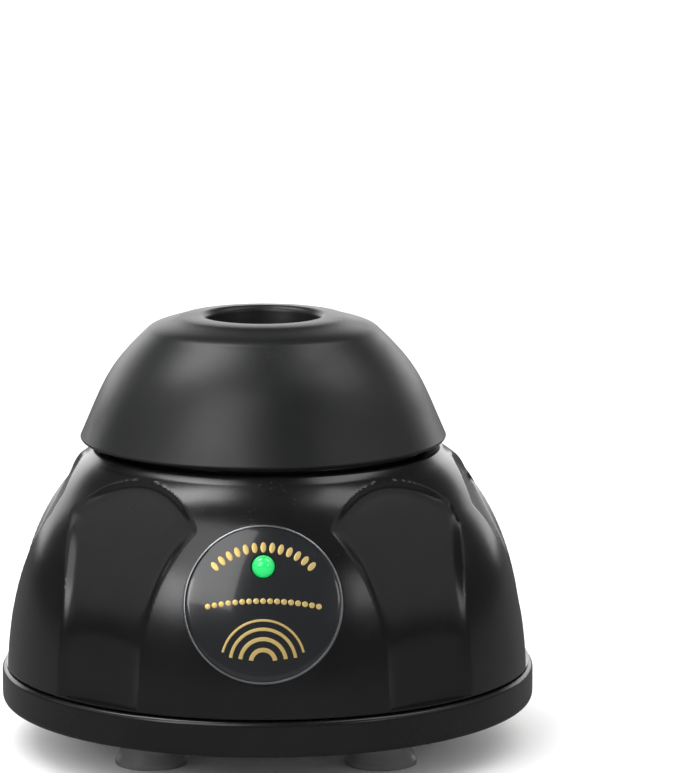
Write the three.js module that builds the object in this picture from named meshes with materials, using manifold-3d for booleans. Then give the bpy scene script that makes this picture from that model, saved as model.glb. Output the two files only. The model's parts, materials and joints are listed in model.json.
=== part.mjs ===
// Touch-operated vortex mixer: a round, domed bench mixer with a floating rubber cup head.
// Pressing the cup moves the spring-mounted motor down onto a micro switch; the motor then
// turns an eccentric, which carries the cup round a small circle without turning it.
//
// Millimetres, +Z up. The origin is on the bench under the centre of the mixer and the badge faces -Y.
import * as THREE from "three";
import { mergeVertices } from "three/addons/utils/BufferGeometryUtils.js";
import Module from "manifold-3d";

// ---------------------------------------------------------------- driving dimensions

const TAU = Math.PI * 2;
const RUNNING_GAP = 0.1; // radial clearance of a guide or bearing seat

const PLATE_RADIUS = 60;
const PLATE_BOTTOM = 9.6;
const PLATE_FLOOR = 12.6; // upper face of the plate's floor
const PLATE_TOP = 17.6; // upper face of the plate's rim
const PLATE_RIM = 3.4; // thickness of the rim wall

const FOOT_OFFSET = 25.4; // of each suction foot from the centre, along X and along Y
const FOOT_RADIUS = 8;
const FOOT_NECK = 3.3;

const DOME_FOOT = { r: 59.2, z: 17.9 };
const DOME_TOP = { r: 40.41, z: 65.65 };
const DOME_LOW_HANDLE = { r: 59.3, z: 27 }; // the two handles of the dome's curve
const DOME_HIGH_HANDLE = { r: 56.2, z: 56 };
const DOME_WALL = 2.2;
const DECK_TOP = 67; // flat deck round the neck
const DECK_RADIUS = 39.2;
const NECK_OUTER = 36;
const NECK_INNER = 34;
const NECK_TOP = 69.6;
const DECK_HOLE = 22;

const PANEL_AZIMUTHS = [38.5, 90, 141.5, 218.5, 270, 321.5]; // degrees round from the front
const PANEL_HALF_WIDTH = 11.45;
const PANEL_CORNER = { t: 18.3, z: 56.7 }; // widest point of the arched outline
const PANEL_APEX = 64.8;
const PANEL_CREASE = { n: 56, z: 33 }; // where the lower facet meets the upper one
const PANEL_LOWER_LEAN = 0.14; // how far each facet leans in per millimetre of height
const PANEL_UPPER_LEAN = 0.445;
const PANEL_SIDE_TOP = 26; // height where the upright sides start to spread

const BADGE_RADIUS = 16.7;
const BADGE_HEIGHT = 42.6;
const BADGE_TILT = THREE.MathUtils.degToRad(16.2); // of the badge's normal above the horizontal
const BADGE_THICKNESS = 0.9;
const BADGE_SINK = 0.15; // depth of the badge's face below the dome
const LED_HEIGHT = 50.2;
const LED_RADIUS = 2.5;

const CUP_OFFSET = 1.6; // eccentricity of the crank pin
const CRANK_AZIMUTH = THREE.MathUtils.degToRad(124); // where the crank pin rests, from +X
const HOOD_FOOT = { r: 41.02, z: 69.4 };
const HOOD_SHOULDER = { r: 26.27, z: 92.9 };
const HOOD_WALL = 2.4;
const HOOD_BOTTOM = 68.5;
const CREST_TOP = 96.4;
const THROAT_RADIUS = 12.83;
const CUP_FLOOR = 82;

const MOTOR_RADIUS = 14;
const MOTOR_BOTTOM = 24;
const MOTOR_TOP = 62;
const MOTOR_SCREW_X = [-8, 8];
const SHAFT_RADIUS = 1.5;

const POST_ORBIT = 23; // radius of the three guide posts' circle
const POST_AZIMUTHS = [90, 210, 330];
const POST_RADIUS = 3;
const POST_TOP = 45;
const SPRING_SEAT = 24; // upper face of each post's wide base
const FLANGE_TOP = POST_TOP - RUNNING_GAP;
const FLANGE_THICKNESS = 3;
const SPRING_RADIUS = 4.05;
const SPRING_WIRE = 0.45;
const SPRING_TURNS = 5;
const SPRING_END_CLOSING = 0.045;

const CASE_SCREW_ORBIT = 48;
const CASE_SCREW_AZIMUTHS = [64.25, 115.75, 244.25, 295.75];
const CASE_POST_RADIUS = 4;
const CASE_POST_TOP = 44;
const CASE_SCREW = { head: 2.9, headHeight: 1.5, shank: 1.4, length: 9 };

const SWITCH_Y = -23;
const SWITCH_TOP = 22.8;
const SWITCH_DEPTH = 3.2; // half of the switch's size along Y
const PLUNGER_TOP = 24;
const SWITCH_WALL = { y: SWITCH_Y - SWITCH_DEPTH, thickness: 2.2, half: 9, top: 22 };
const SWITCH_SCREW_X = 4.75;
const SWITCH_SCREW_Z = 17.6;

const JACK_HEIGHT = 28;
const JACK_SEAT = 56.2; // distance of the jack's outer seat behind the centre
const JACK_BARREL = 4;

const BOARD = { x: -39.5, y: 0, z: 17.6, width: 21, depth: 28, thickness: 1.6 };
const CONNECTOR = { x: -36, y: -7, width: 8, depth: 8, height: 8 };

const HUB_BOTTOM = 66.4;
const HUB_TOP = 70.2;
const WEIGHT_BOTTOM = 66.8;
const WEIGHT_TOP = 69.4;
const WEIGHT_RADIUS = 17;
const SET_SCREW_Z = 68.1;
const PIN_RADIUS = 3;
const PIN_TOP = 79.1;
const RING_GROOVE = { low: 77.95, high: 78.7, radius: 2.5 };
const BEARING_BOTTOM = 71.8;
const BEARING_TOP = 77.8;
const BEARING_RADIUS = 9.5;
const SEAT_RADIUS = BEARING_RADIUS + 0.13; // of the bearing's seat in the cup carrier
const BALL_ORBIT = 6.1;
const BALL_RADIUS = 1.5;
const CARRIER_RADIUS = 17;
const CARRIER_TOP = 79.2;
const RETAINER = { inner: 8.4, outer: 15.4, bottom: 70.3, top: 71.7 };
const RETAINER_SCREW_ORBIT = 12.6;

const LEAD_RADIUS = 0.8;

const FINISHES = {
  gloss_black: { color: 0x141416, roughness: 0.28, metalness: 0 },
  hood_rubber: { color: 0x232424, roughness: 0.5, metalness: 0 },
  foot_rubber: { color: 0x2a2a2c, roughness: 0.6, metalness: 0 },
  badge: { color: 0x34363a, roughness: 0.2, metalness: 0.3 },
  lamp: { color: 0x28c85a, roughness: 0.1, metalness: 0 },
  screw_steel: { color: 0x9a9ca0, roughness: 0.35, metalness: 1 },
  spring_steel: { color: 0xb4b6ba, roughness: 0.3, metalness: 1 },
  motor_steel: { color: 0xa6a8ac, roughness: 0.3, metalness: 1 },
  moulded_grey: { color: 0x3a3c40, roughness: 0.55, metalness: 0 },
  white_nylon: { color: 0xdedcd4, roughness: 0.5, metalness: 0 },
  brass: { color: 0xb89146, roughness: 0.3, metalness: 1 },
  aluminium: { color: 0xb6b8bc, roughness: 0.4, metalness: 1 },
  board_green: { color: 0x1c5a34, roughness: 0.5, metalness: 0 },
  switch_red: { color: 0xa52a24, roughness: 0.45, metalness: 0 },
  lead_red: { color: 0xb0201c, roughness: 0.5, metalness: 0 },
  lead_black: { color: 0x1a1a1a, roughness: 0.5, metalness: 0 },
};

const DOME_SEGMENTS = 36; // facets round the large turned pieces

// ---------------------------------------------------------------- solids

const wasm = await Module();
wasm.setup();

// A closed geometry as a solid that can be joined and cut.
function solid(geometry) {
  const bare = geometry.index ? geometry.toNonIndexed() : geometry.clone();
  bare.deleteAttribute("normal");
  bare.deleteAttribute("uv");
  const merged = mergeVertices(bare, 1e-4);
  return new wasm.Manifold(
    new wasm.Mesh({
      numProp: 3,
      vertProperties: merged.attributes.position.array,
      triVerts: new Uint32Array(merged.index.array),
    }),
  );
}

// The geometry of a solid, ready for a mesh.
function geometryOf(body) {
  const mesh = body.getMesh();
  const geometry = new THREE.BufferGeometry();
  geometry.setAttribute("position", new THREE.BufferAttribute(mesh.vertProperties, 3));
  geometry.setIndex(new THREE.BufferAttribute(mesh.triVerts, 1));
  geometry.computeVertexNormals();
  return geometry;
}

const union = (...bodies) => bodies.reduce((sum, body) => sum.add(body));
const without = (body, ...cuts) => cuts.reduce((rest, cut) => rest.subtract(cut), body);

// Turns a profile of [radius, height] points round the Z axis.
// The profile starts and ends on the axis, or closes on itself; either way its faces point out.
function turned(profile, segments = 32) {
  const closed = profile[0][0] > 0;
  const ring = closed ? [...profile, profile[0]] : profile;
  const area = ring.reduce((sum, [r, z], i) => {
    const [r2, z2] = ring[(i + 1) % ring.length];
    return sum + r * z2 - r2 * z;
  }, 0);
  const points = ring.map(([r, z]) => new THREE.Vector2(r, z));
  if (area < 0) points.reverse();
  return new THREE.LatheGeometry(points, segments).rotateX(Math.PI / 2);
}

const turnedSolid = (profile, segments) => solid(turned(profile, segments));

// A straight round bar along Z.
function bar(radius, bottom, top, segments = 24, x = 0, y = 0) {
  const geometry = new THREE.CylinderGeometry(radius, radius, top - bottom, segments);
  return geometry.rotateX(Math.PI / 2).translate(x, y, (bottom + top) / 2);
}

const barSolid = (...sizes) => solid(bar(...sizes));

// A straight round bar along Y.
function barAlongY(radius, front, back, segments = 24, x = 0, z = 0) {
  const geometry = new THREE.CylinderGeometry(radius, radius, back - front, segments);
  return geometry.translate(x, (front + back) / 2, z);
}

// A block given by its lowest and highest corners.
function block([x0, y0, z0], [x1, y1, z1]) {
  const geometry = new THREE.BoxGeometry(x1 - x0, y1 - y0, z1 - z0);
  return geometry.translate((x0 + x1) / 2, (y0 + y1) / 2, (z0 + z1) / 2);
}

// A flat outline of the XY plane, raised from bottom to top.
function raised(shape, bottom, top, curveSegments = 12) {
  const depth = top - bottom;
  const geometry = new THREE.ExtrudeGeometry(shape, { depth, bevelEnabled: false, curveSegments });
  return geometry.translate(0, 0, bottom);
}

// Points of a cubic curve between two [radius, height] points, with its two handles.
function curvePoints(start, startHandle, endHandle, end, steps) {
  const [a, b, c, d] = [start, startHandle, endHandle, end].map(([r, z]) => new THREE.Vector2(r, z));
  return new THREE.CubicBezierCurve(a, b, c, d).getPoints(steps).map(({ x, y }) => [x, y]);
}

// Points of a circular arc round (r, z), angles in degrees from the outward direction.
function arcPoints(r, z, radius, from, to, steps) {
  return Array.from({ length: steps + 1 }, (_, i) => {
    const angle = THREE.MathUtils.degToRad(from + ((to - from) * i) / steps);
    return [r + radius * Math.cos(angle), z + radius * Math.sin(angle)];
  });
}

// A point on a circle, with its azimuth in degrees anticlockwise from +X.
function onCircle(radius, azimuth) {
  const angle = THREE.MathUtils.degToRad(azimuth);
  return [radius * Math.cos(angle), radius * Math.sin(angle)];
}

// Azimuth from +X of a direction given in degrees round from the front.
const fromFront = (azimuth) => azimuth - 90;

const vortexMixer = new THREE.Group();

// Adds a named piece to the mixer, or to another group.
function addPiece(name, shape, finish, parent = vortexMixer) {
  const geometry = shape.isBufferGeometry ? shape : geometryOf(shape);
  const material = new THREE.MeshStandardMaterial(FINISHES[finish]);
  const mesh = new THREE.Mesh(geometry, material);
  mesh.name = name;
  parent.add(mesh);
  return mesh;
}

// ---------------------------------------------------------------- screws

// A cross-recessed screw along -Z from the underside of its head at the origin.
function panScrew(headRadius, headHeight, shankRadius, length) {
  const head = [
    [0, headHeight],
    [headRadius * 0.62, headHeight * 0.92],
    [headRadius, headHeight * 0.4],
    [headRadius, 0],
    [shankRadius, 0],
    [shankRadius, -length + shankRadius],
    [0, -length],
  ];
  const slotHalf = headRadius * 0.55;
  const slotWidth = headRadius * 0.14;
  const slotFloor = headHeight * 0.45;
  const slot = (x, y) => solid(block([-x, -y, slotFloor], [x, y, headHeight + 1]));
  return without(turnedSolid(head, 8), slot(slotHalf, slotWidth), slot(slotWidth, slotHalf));
}

// ---------------------------------------------------------------- base plate and feet

const caseScrewPlaces = CASE_SCREW_AZIMUTHS.map((azimuth) => {
  return onCircle(CASE_SCREW_ORBIT, fromFront(azimuth));
});
const guidePostPlaces = POST_AZIMUTHS.map((azimuth) => onCircle(POST_ORBIT, azimuth));
const footPlaces = [1, -1].flatMap((sx) => [1, -1].map((sy) => [sx * FOOT_OFFSET, sy * FOOT_OFFSET]));
const boardPostPlaces = [
  [BOARD.x - 7.5, 10.5],
  [BOARD.x + 7.5, 10.5],
];

function makeBasePlate() {
  const inner = PLATE_RADIUS - PLATE_RIM;
  const dish = [
    [0, PLATE_BOTTOM],
    ...arcPoints(PLATE_RADIUS - 2, PLATE_BOTTOM + 2, 2, -90, 0, 2),
    ...arcPoints(PLATE_RADIUS - 1.2, PLATE_TOP - 1.2, 1.2, 0, 90, 2),
    [inner, PLATE_TOP],
    [inner, PLATE_FLOOR],
    [0, PLATE_FLOOR],
  ];
  let plate = turnedSolid(dish, DOME_SEGMENTS);
  for (const [x, y] of guidePostPlaces) {
    const post = [
      [0, PLATE_FLOOR - 1],
      [5, PLATE_FLOOR - 1],
      [5, SPRING_SEAT],
      [POST_RADIUS, SPRING_SEAT],
      [POST_RADIUS, POST_TOP],
      [1.15, POST_TOP],
      [1.15, POST_TOP - 11],
      [0, POST_TOP - 11],
    ];
    plate = plate.add(solid(turned(post, 14).translate(x, y, 0)));
  }
  for (const [x, y] of boardPostPlaces) {
    plate = plate.add(barSolid(2.6, PLATE_FLOOR - 1, BOARD.z, 10, x, y));
    plate = plate.subtract(barSolid(1.1, BOARD.z - 4.4, BOARD.z + 1, 8, x, y));
  }
  const { y, thickness, half, top } = SWITCH_WALL;
  plate = plate.add(solid(block([-half, y - thickness, PLATE_FLOOR - 1], [half, y, top])));
  for (const x of [-SWITCH_SCREW_X, SWITCH_SCREW_X]) {
    const hole = barAlongY(1.1, y - thickness - 1, y + 1, 8, x, SWITCH_SCREW_Z);
    plate = plate.subtract(solid(hole));
  }
  for (const [x, y] of footPlaces) {
    plate = plate.subtract(barSolid(FOOT_NECK + 0.3, PLATE_BOTTOM - 1, PLATE_FLOOR + 1, 16, x, y));
  }
  for (const [x, y] of caseScrewPlaces) {
    plate = plate.subtract(barSolid(1.7, PLATE_BOTTOM - 1, PLATE_FLOOR + 1, 10, x, y));
    plate = plate.subtract(barSolid(3.3, PLATE_BOTTOM - 1, PLATE_BOTTOM + 1.7, 12, x, y));
  }
  return plate;
}

// A push-in suction foot: a flared rubber cup with a barbed neck that grips the plate's hole.
function makeFoot() {
  const profile = [
    [0, 1.7],
    [6.8, 0],
    [FOOT_RADIUS, 0],
    [FOOT_RADIUS, 0.9],
    [7.2, 2.6],
    [6.9, 4.4],
    [6.9, PLATE_BOTTOM],
    [FOOT_NECK, PLATE_BOTTOM],
    [FOOT_NECK, PLATE_FLOOR + RUNNING_GAP],
    [4.6, PLATE_FLOOR + RUNNING_GAP],
    [3.4, PLATE_FLOOR + 2],
    [0, PLATE_FLOOR + 2.2],
  ];
  return turned(profile, 16);
}

function addBase() {
  addPiece("base_plate", makeBasePlate(), "gloss_black");
  footPlaces.forEach(([x, y], i) => {
    addPiece(`suction_foot_${i + 1}`, makeFoot(), "foot_rubber").position.set(x, y, 0);
  });
  caseScrewPlaces.forEach(([x, y], i) => {
    const { head, headHeight, shank, length } = CASE_SCREW;
    const screw = addPiece(`case_screw_${i + 1}`, panScrew(head, headHeight, shank, length), "screw_steel");
    screw.rotation.x = Math.PI;
    screw.position.set(x, y, PLATE_BOTTOM + 1.7);
  });
}

// ---------------------------------------------------------------- upper housing

// Outer profile of the dome, moved inwards by an offset, from its lower rim to the axis.
function domeProfile(offset, steps) {
  const rim = curvePoints(
    [DOME_FOOT.r - offset, DOME_FOOT.z],
    [DOME_LOW_HANDLE.r - offset, DOME_LOW_HANDLE.z],
    [DOME_HIGH_HANDLE.r - offset * 0.85, DOME_HIGH_HANDLE.z - offset * 0.5],
    [DOME_TOP.r - offset * 0.7, DOME_TOP.z - offset * 0.7],
    steps,
  );
  return [...rim, [DECK_RADIUS - offset * 0.8, DECK_TOP - offset], [0, DECK_TOP - offset]];
}

// Everything outside one arched panel's two facets, within its outline, at azimuth 0 along +X.
function panelCutter(offset) {
  const half = PANEL_HALF_WIDTH + offset;
  const corner = PANEL_CORNER.t + offset;
  const apex = PANEL_APEX + offset * 0.5;
  const bottom = DOME_FOOT.z - 6;
  const spreadHandle = { t: half - 0.1, z: 47 };
  const archHandle = 10.2;
  const outline = new THREE.Shape();
  outline.moveTo(half, bottom);
  outline.lineTo(half, PANEL_SIDE_TOP);
  outline.quadraticCurveTo(spreadHandle.t, spreadHandle.z, corner, PANEL_CORNER.z);
  outline.quadraticCurveTo(archHandle, apex, 0, apex);
  outline.quadraticCurveTo(-archHandle, apex, -corner, PANEL_CORNER.z);
  outline.quadraticCurveTo(-spreadHandle.t, spreadHandle.z, -half, PANEL_SIDE_TOP);
  outline.lineTo(-half, bottom);
  const outside = 80; // beyond the dome's largest radius
  const across = raised(outline, 20, outside, 4).rotateX(Math.PI / 2).rotateZ(Math.PI / 2);

  const { n, z } = PANEL_CREASE;
  const above = DECK_TOP + 5;
  const depth = n - offset;
  const facets = new THREE.Shape();
  facets.moveTo(depth + PANEL_LOWER_LEAN * (z - bottom), bottom - 1);
  facets.lineTo(outside, bottom - 1);
  facets.lineTo(outside, above);
  facets.lineTo(depth - PANEL_UPPER_LEAN * (above - z), above);
  facets.lineTo(depth, z);
  const along = raised(facets, -30, 30).rotateX(Math.PI / 2);
  return solid(across).intersect(solid(along));
}

// The housing's outer form, or its cavity, as a filled solid.
function housingForm(offset, segments, steps) {
  const form = turnedSolid([[0, DOME_FOOT.z], ...domeProfile(offset, steps)], segments);
  const cutter = panelCutter(offset);
  return PANEL_AZIMUTHS.reduce((rest, azimuth) => {
    return rest.subtract(cutter.rotate([0, 0, fromFront(azimuth)]));
  }, form);
}

const domeRadiusAt = (height) => {
  const points = domeProfile(0, 40);
  const next = points.findIndex(([, z]) => z > height);
  const [[r0, z0], [r1, z1]] = [points[next - 1], points[next]];
  return r0 + ((r1 - r0) * (height - z0)) / (z1 - z0);
};

// Places a piece made along +Z so that it points out of the badge's face at a height.
function onBadge(geometry, height) {
  return geometry
    .rotateX(Math.PI / 2 - BADGE_TILT)
    .translate(0, -domeRadiusAt(height), height);
}

function makeUpperHousing() {
  const outer = housingForm(0, DOME_SEGMENTS, 7);
  const cavity = housingForm(DOME_WALL, 32, 3);
  const floor = solid(bar(70, DOME_FOOT.z - 8, DOME_FOOT.z, 12));
  let shell = outer.subtract(cavity).subtract(floor);

  const jackPad = solid(barAlongY(8.6, JACK_SEAT - 3, JACK_SEAT + 0.5, 24, 0, JACK_HEIGHT));
  shell = shell.add(jackPad);
  const posts = caseScrewPlaces.map(([x, y]) => {
    return barSolid(CASE_POST_RADIUS, PLATE_FLOOR, CASE_POST_TOP, 12, x, y);
  });
  const ribs = CASE_SCREW_AZIMUTHS.map((azimuth) => {
    const rib = block([CASE_SCREW_ORBIT, -1, DOME_FOOT.z + 1], [DOME_FOOT.r, 1, CASE_POST_TOP]);
    return solid(rib).rotate([0, 0, fromFront(azimuth)]);
  });
  const room = outer.add(barSolid(56, PLATE_FLOOR - 1, DOME_FOOT.z + 1, 36));
  shell = shell.add(union(...posts, ...ribs).intersect(room));

  const neck = [
    [NECK_INNER, DECK_TOP - 1],
    [NECK_OUTER, DECK_TOP - 1],
    [NECK_OUTER, NECK_TOP],
    [NECK_INNER, NECK_TOP],
  ];
  shell = shell.add(turnedSolid(neck, 32));
  const badgeBed = onBadge(bar(BADGE_RADIUS + 0.3, -8, 8, 36), BADGE_HEIGHT);
  const bedDepth = BADGE_THICKNESS + BADGE_SINK + 0.1;
  const bedCore = turnedSolid([[0, DOME_FOOT.z], ...domeProfile(bedDepth, 7)], DOME_SEGMENTS);
  return without(
    shell,
    solid(badgeBed).subtract(bedCore),
    solid(onBadge(bar(LED_RADIUS + 0.2, -12, 8, 16), LED_HEIGHT)),
    barSolid(DECK_HOLE, 50, 80, 32),
    solid(barAlongY(JACK_BARREL + 0.2, 40, 70, 18, 0, JACK_HEIGHT)),
    solid(barAlongY(7.2, JACK_SEAT, 70, 24, 0, JACK_HEIGHT)),
    ...caseScrewPlaces.map(([x, y]) => barSolid(1.5, PLATE_FLOOR - 1, PLATE_FLOOR + 9, 12, x, y)),
  );
}

// The badge is a slice of the dome's own form, so that it follows the dome's curve.
function makeBadge() {
  const face = turnedSolid([[0, DOME_FOOT.z], ...domeProfile(BADGE_SINK, 7)], DOME_SEGMENTS);
  const backProfile = domeProfile(BADGE_SINK + BADGE_THICKNESS, 7);
  const back = turnedSolid([[0, DOME_FOOT.z], ...backProfile], DOME_SEGMENTS);
  const disc = solid(onBadge(bar(BADGE_RADIUS, -8, 8, 36), BADGE_HEIGHT));
  const lampHole = solid(onBadge(bar(LED_RADIUS + 0.2, -12, 8, 16), LED_HEIGHT));
  return without(face.subtract(back).intersect(disc), lampHole);
}

function makeLamp() {
  const profile = [
    [0, -7.6],
    [2.95, -7.6],
    [2.95, -6.6],
    [LED_RADIUS, -6.6],
    ...arcPoints(0, -0.9, LED_RADIUS, 0, 90, 4),
  ];
  return onBadge(turned(profile, 16), LED_HEIGHT);
}

// ---------------------------------------------------------------- power jack

function makeJackBody() {
  const body = [
    [2.8, 1.6],
    [2.8, -9.5],
    [0.75, -9.5],
    [0.75, -14.2],
    [3.4, -14.2],
    [3.4, -12.4],
    [JACK_BARREL, -12.4],
    [JACK_BARREL, 0],
    [6.8, 0],
    [6.8, 1],
    [6.2, 1.6],
  ];
  return turned(body, 18).rotateX(-Math.PI / 2).translate(0, JACK_SEAT, JACK_HEIGHT);
}

function makeJackPin() {
  const pin = [
    [0, -14.9],
    [0.7, -14.9],
    [0.7, -9.45],
    [1.05, -9.45],
    [1.05, -0.6],
    [0.6, 0],
    [0, 0],
  ];
  return turned(pin, 12).rotateX(-Math.PI / 2).translate(0, JACK_SEAT, JACK_HEIGHT);
}

function makeJackNut() {
  const hexagon = new THREE.Shape(Array.from({ length: 6 }, (_, i) => {
    const [x, y] = onCircle(6.4, i * 60);
    return new THREE.Vector2(x, y);
  }));
  const bore = new THREE.Path().absarc(0, 0, JACK_BARREL + RUNNING_GAP, 0, TAU);
  hexagon.holes.push(bore);
  const nut = raised(hexagon, -2.2, 0, 24).rotateX(-Math.PI / 2);
  return nut.translate(0, JACK_SEAT - 3, JACK_HEIGHT);
}

// ---------------------------------------------------------------- control board and switch

function makeBoard() {
  const { x, y, z, width, depth, thickness } = BOARD;
  const low = [x - width / 2, y - depth / 2, z];
  const high = [x + width / 2, y + depth / 2, z + thickness];
  const holes = boardPostPlaces.map(([px, py]) => barSolid(1.3, z - 1, z + 3, 14, px, py));
  return without(solid(block(low, high)), ...holes);
}

function makeConnector() {
  const { x, y, width, depth, height } = CONNECTOR;
  const bottom = BOARD.z + BOARD.thickness;
  const top = bottom + height;
  const housing = block([x - width / 2, y - depth / 2, bottom], [x + width / 2, y + depth / 2, top]);
  const slotHalf = { x: 0.9, y: depth / 2 - 1.4 };
  const slots = [x - 2, x + 2].map((mid) => {
    const low = [mid - slotHalf.x, y - slotHalf.y, top - 2];
    const high = [mid + slotHalf.x, y + slotHalf.y, top + 1];
    return solid(block(low, high));
  });
  return without(solid(housing), ...slots);
}

function makeCapacitor() {
  const low = BOARD.z + BOARD.thickness;
  const can = [
    [0, low],
    [3.7, low],
    [4, low + 0.4],
    [4, low + 1.4],
    [3.7, low + 1.8],
    [4, low + 2.2],
    [4, low + 10.9],
    [3.6, low + 11.3],
    [0, low + 11.3],
  ];
  return turned(can, 14).translate(-44.5, 4, 0);
}

function makeSwitchBody() {
  const half = 9.9;
  const [front, back] = [SWITCH_Y - SWITCH_DEPTH, SWITCH_Y + SWITCH_DEPTH];
  let body = solid(block([-half, front, PLATE_FLOOR], [half, back, SWITCH_TOP]));
  body = body.subtract(barSolid(1.35, 17.6, SWITCH_TOP + 1, 12, 0, SWITCH_Y));
  for (const x of [-SWITCH_SCREW_X, SWITCH_SCREW_X]) {
    body = body.subtract(solid(barAlongY(1.2, front - 1, back + 1, 10, x, SWITCH_SCREW_Z)));
  }
  const tab = (z) => {
    const low = [-half - 3.2, SWITCH_Y - 0.3, z - 1.1];
    return solid(block(low, [-half + 1, SWITCH_Y + 0.3, z + 1.1]));
  };
  return union(body, tab(15.2), tab(19.4));
}

function makeSwitchPlunger() {
  const plunger = [
    [0, 19],
    [1.2, 19],
    [1.2, PLUNGER_TOP - 0.5],
    [0.8, PLUNGER_TOP],
    [0, PLUNGER_TOP],
  ];
  return turned(plunger, 10).translate(0, SWITCH_Y, 0);
}

function addElectrics() {
  addPiece("dc_jack_body", makeJackBody(), "moulded_grey");
  addPiece("dc_jack_pin", makeJackPin(), "brass");
  addPiece("dc_jack_nut", makeJackNut(), "screw_steel");
  addPiece("control_board", makeBoard(), "board_green");
  addPiece("board_connector", makeConnector(), "white_nylon");
  addPiece("board_capacitor", makeCapacitor(), "moulded_grey");
  boardPostPlaces.forEach(([x, y], i) => {
    const screw = addPiece(`board_screw_${i + 1}`, panScrew(2.1, 1.3, 0.95, 5.4), "screw_steel");
    screw.position.set(x, y, BOARD.z + BOARD.thickness);
  });
  addPiece("micro_switch", makeSwitchBody(), "moulded_grey");
  addPiece("switch_plunger", makeSwitchPlunger(), "switch_red");
  [-SWITCH_SCREW_X, SWITCH_SCREW_X].forEach((x, i) => {
    const screw = addPiece(`switch_screw_${i + 1}`, panScrew(2, 1.2, 0.95, 8.4), "screw_steel");
    screw.rotation.x = -Math.PI / 2;
    screw.position.set(x, SWITCH_Y + SWITCH_DEPTH, SWITCH_SCREW_Z);
  });
}

// ---------------------------------------------------------------- sprung motor carriage

function makeCradle() {
  const sleeve = [
    [MOTOR_RADIUS + RUNNING_GAP, 27],
    [16.2, 27],
    [16.2, MOTOR_TOP + 1.4],
    [15.2, MOTOR_TOP + 2.4],
    [5.2, MOTOR_TOP + 2.4],
    [5.2, MOTOR_TOP],
    [MOTOR_RADIUS + RUNNING_GAP, MOTOR_TOP],
  ];
  let cradle = turnedSolid(sleeve, 26);
  const bottom = FLANGE_TOP - FLANGE_THICKNESS;
  const reach = new THREE.Shape();
  reach.moveTo(14.8, -6.5);
  reach.lineTo(POST_ORBIT, -6.5);
  reach.absarc(POST_ORBIT, 0, 6.5, -Math.PI / 2, Math.PI / 2);
  reach.lineTo(14.8, 6.5);
  const lobe = solid(raised(reach, bottom, FLANGE_TOP, 8));
  const gusset = solid(block([15.5, -1, bottom - 6], [17.6, 1, bottom + 1]));
  for (const azimuth of POST_AZIMUTHS) {
    cradle = cradle.add(lobe.add(gusset).rotate([0, 0, azimuth]));
  }
  cradle = without(cradle, ...guidePostPlaces.map(([x, y]) => {
    return barSolid(POST_RADIUS + RUNNING_GAP, bottom - 1, FLANGE_TOP + 1, 16, x, y);
  }));
  const tab = solid(block([-3.4, SWITCH_Y - 3, PLUNGER_TOP + 0.05], [3.4, -14.9, PLUNGER_TOP + 6]));
  const motorRoom = barSolid(MOTOR_RADIUS + RUNNING_GAP, 20, MOTOR_TOP, 26);
  cradle = without(cradle.add(tab), motorRoom);
  const screwHoles = MOTOR_SCREW_X.map((x) => barSolid(1.4, MOTOR_TOP - 1, MOTOR_TOP + 4, 14, x, 0));
  return without(cradle, ...screwHoles);
}

function makeMotorCan() {
  const can = [
    [0, MOTOR_BOTTOM + 1.4],
    [MOTOR_RADIUS, MOTOR_BOTTOM + 1.4],
    [MOTOR_RADIUS, MOTOR_TOP - 1],
    [MOTOR_RADIUS - 1, MOTOR_TOP],
    [5, MOTOR_TOP],
    [5, MOTOR_TOP + 1.6],
    [0, MOTOR_TOP + 1.6],
  ];
  const body = turnedSolid(can, 26);
  return without(
    body,
    barSolid(SHAFT_RADIUS + RUNNING_GAP, MOTOR_BOTTOM, MOTOR_TOP + 3, 12),
    ...MOTOR_SCREW_X.map((x) => barSolid(1.25, MOTOR_TOP - 4, MOTOR_TOP + 1, 14, x, 0)),
  );
}

function makeMotorCap() {
  const cap = [
    [0, MOTOR_BOTTOM - 1.8],
    [4, MOTOR_BOTTOM - 1.8],
    [4, MOTOR_BOTTOM],
    [MOTOR_RADIUS - 0.6, MOTOR_BOTTOM],
    [MOTOR_RADIUS, MOTOR_BOTTOM + 0.6],
    [MOTOR_RADIUS, MOTOR_BOTTOM + 1.4],
    [0, MOTOR_BOTTOM + 1.4],
  ];
  const bushing = barSolid(SHAFT_RADIUS + RUNNING_GAP, MOTOR_BOTTOM - 0.6, MOTOR_BOTTOM + 3, 12);
  return turnedSolid(cap, 26).subtract(bushing);
}

function addCarriage() {
  addPiece("motor_cradle", makeCradle(), "moulded_grey");
  addPiece("motor_can", makeMotorCan(), "motor_steel");
  addPiece("motor_end_cap", makeMotorCap(), "white_nylon");
  [-8.5, 8.5].forEach((x, i) => {
    const tab = block([x - 0.25, -1.4, MOTOR_BOTTOM - 4.2], [x + 0.25, 1.4, MOTOR_BOTTOM]);
    addPiece(`motor_terminal_${i + 1}`, tab, "brass");
  });
  MOTOR_SCREW_X.forEach((x, i) => {
    const screw = addPiece(`motor_screw_${i + 1}`, panScrew(2.2, 1.4, 1.2, 5.6), "screw_steel");
    screw.position.set(x, 0, MOTOR_TOP + 2.4);
  });
}

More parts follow.
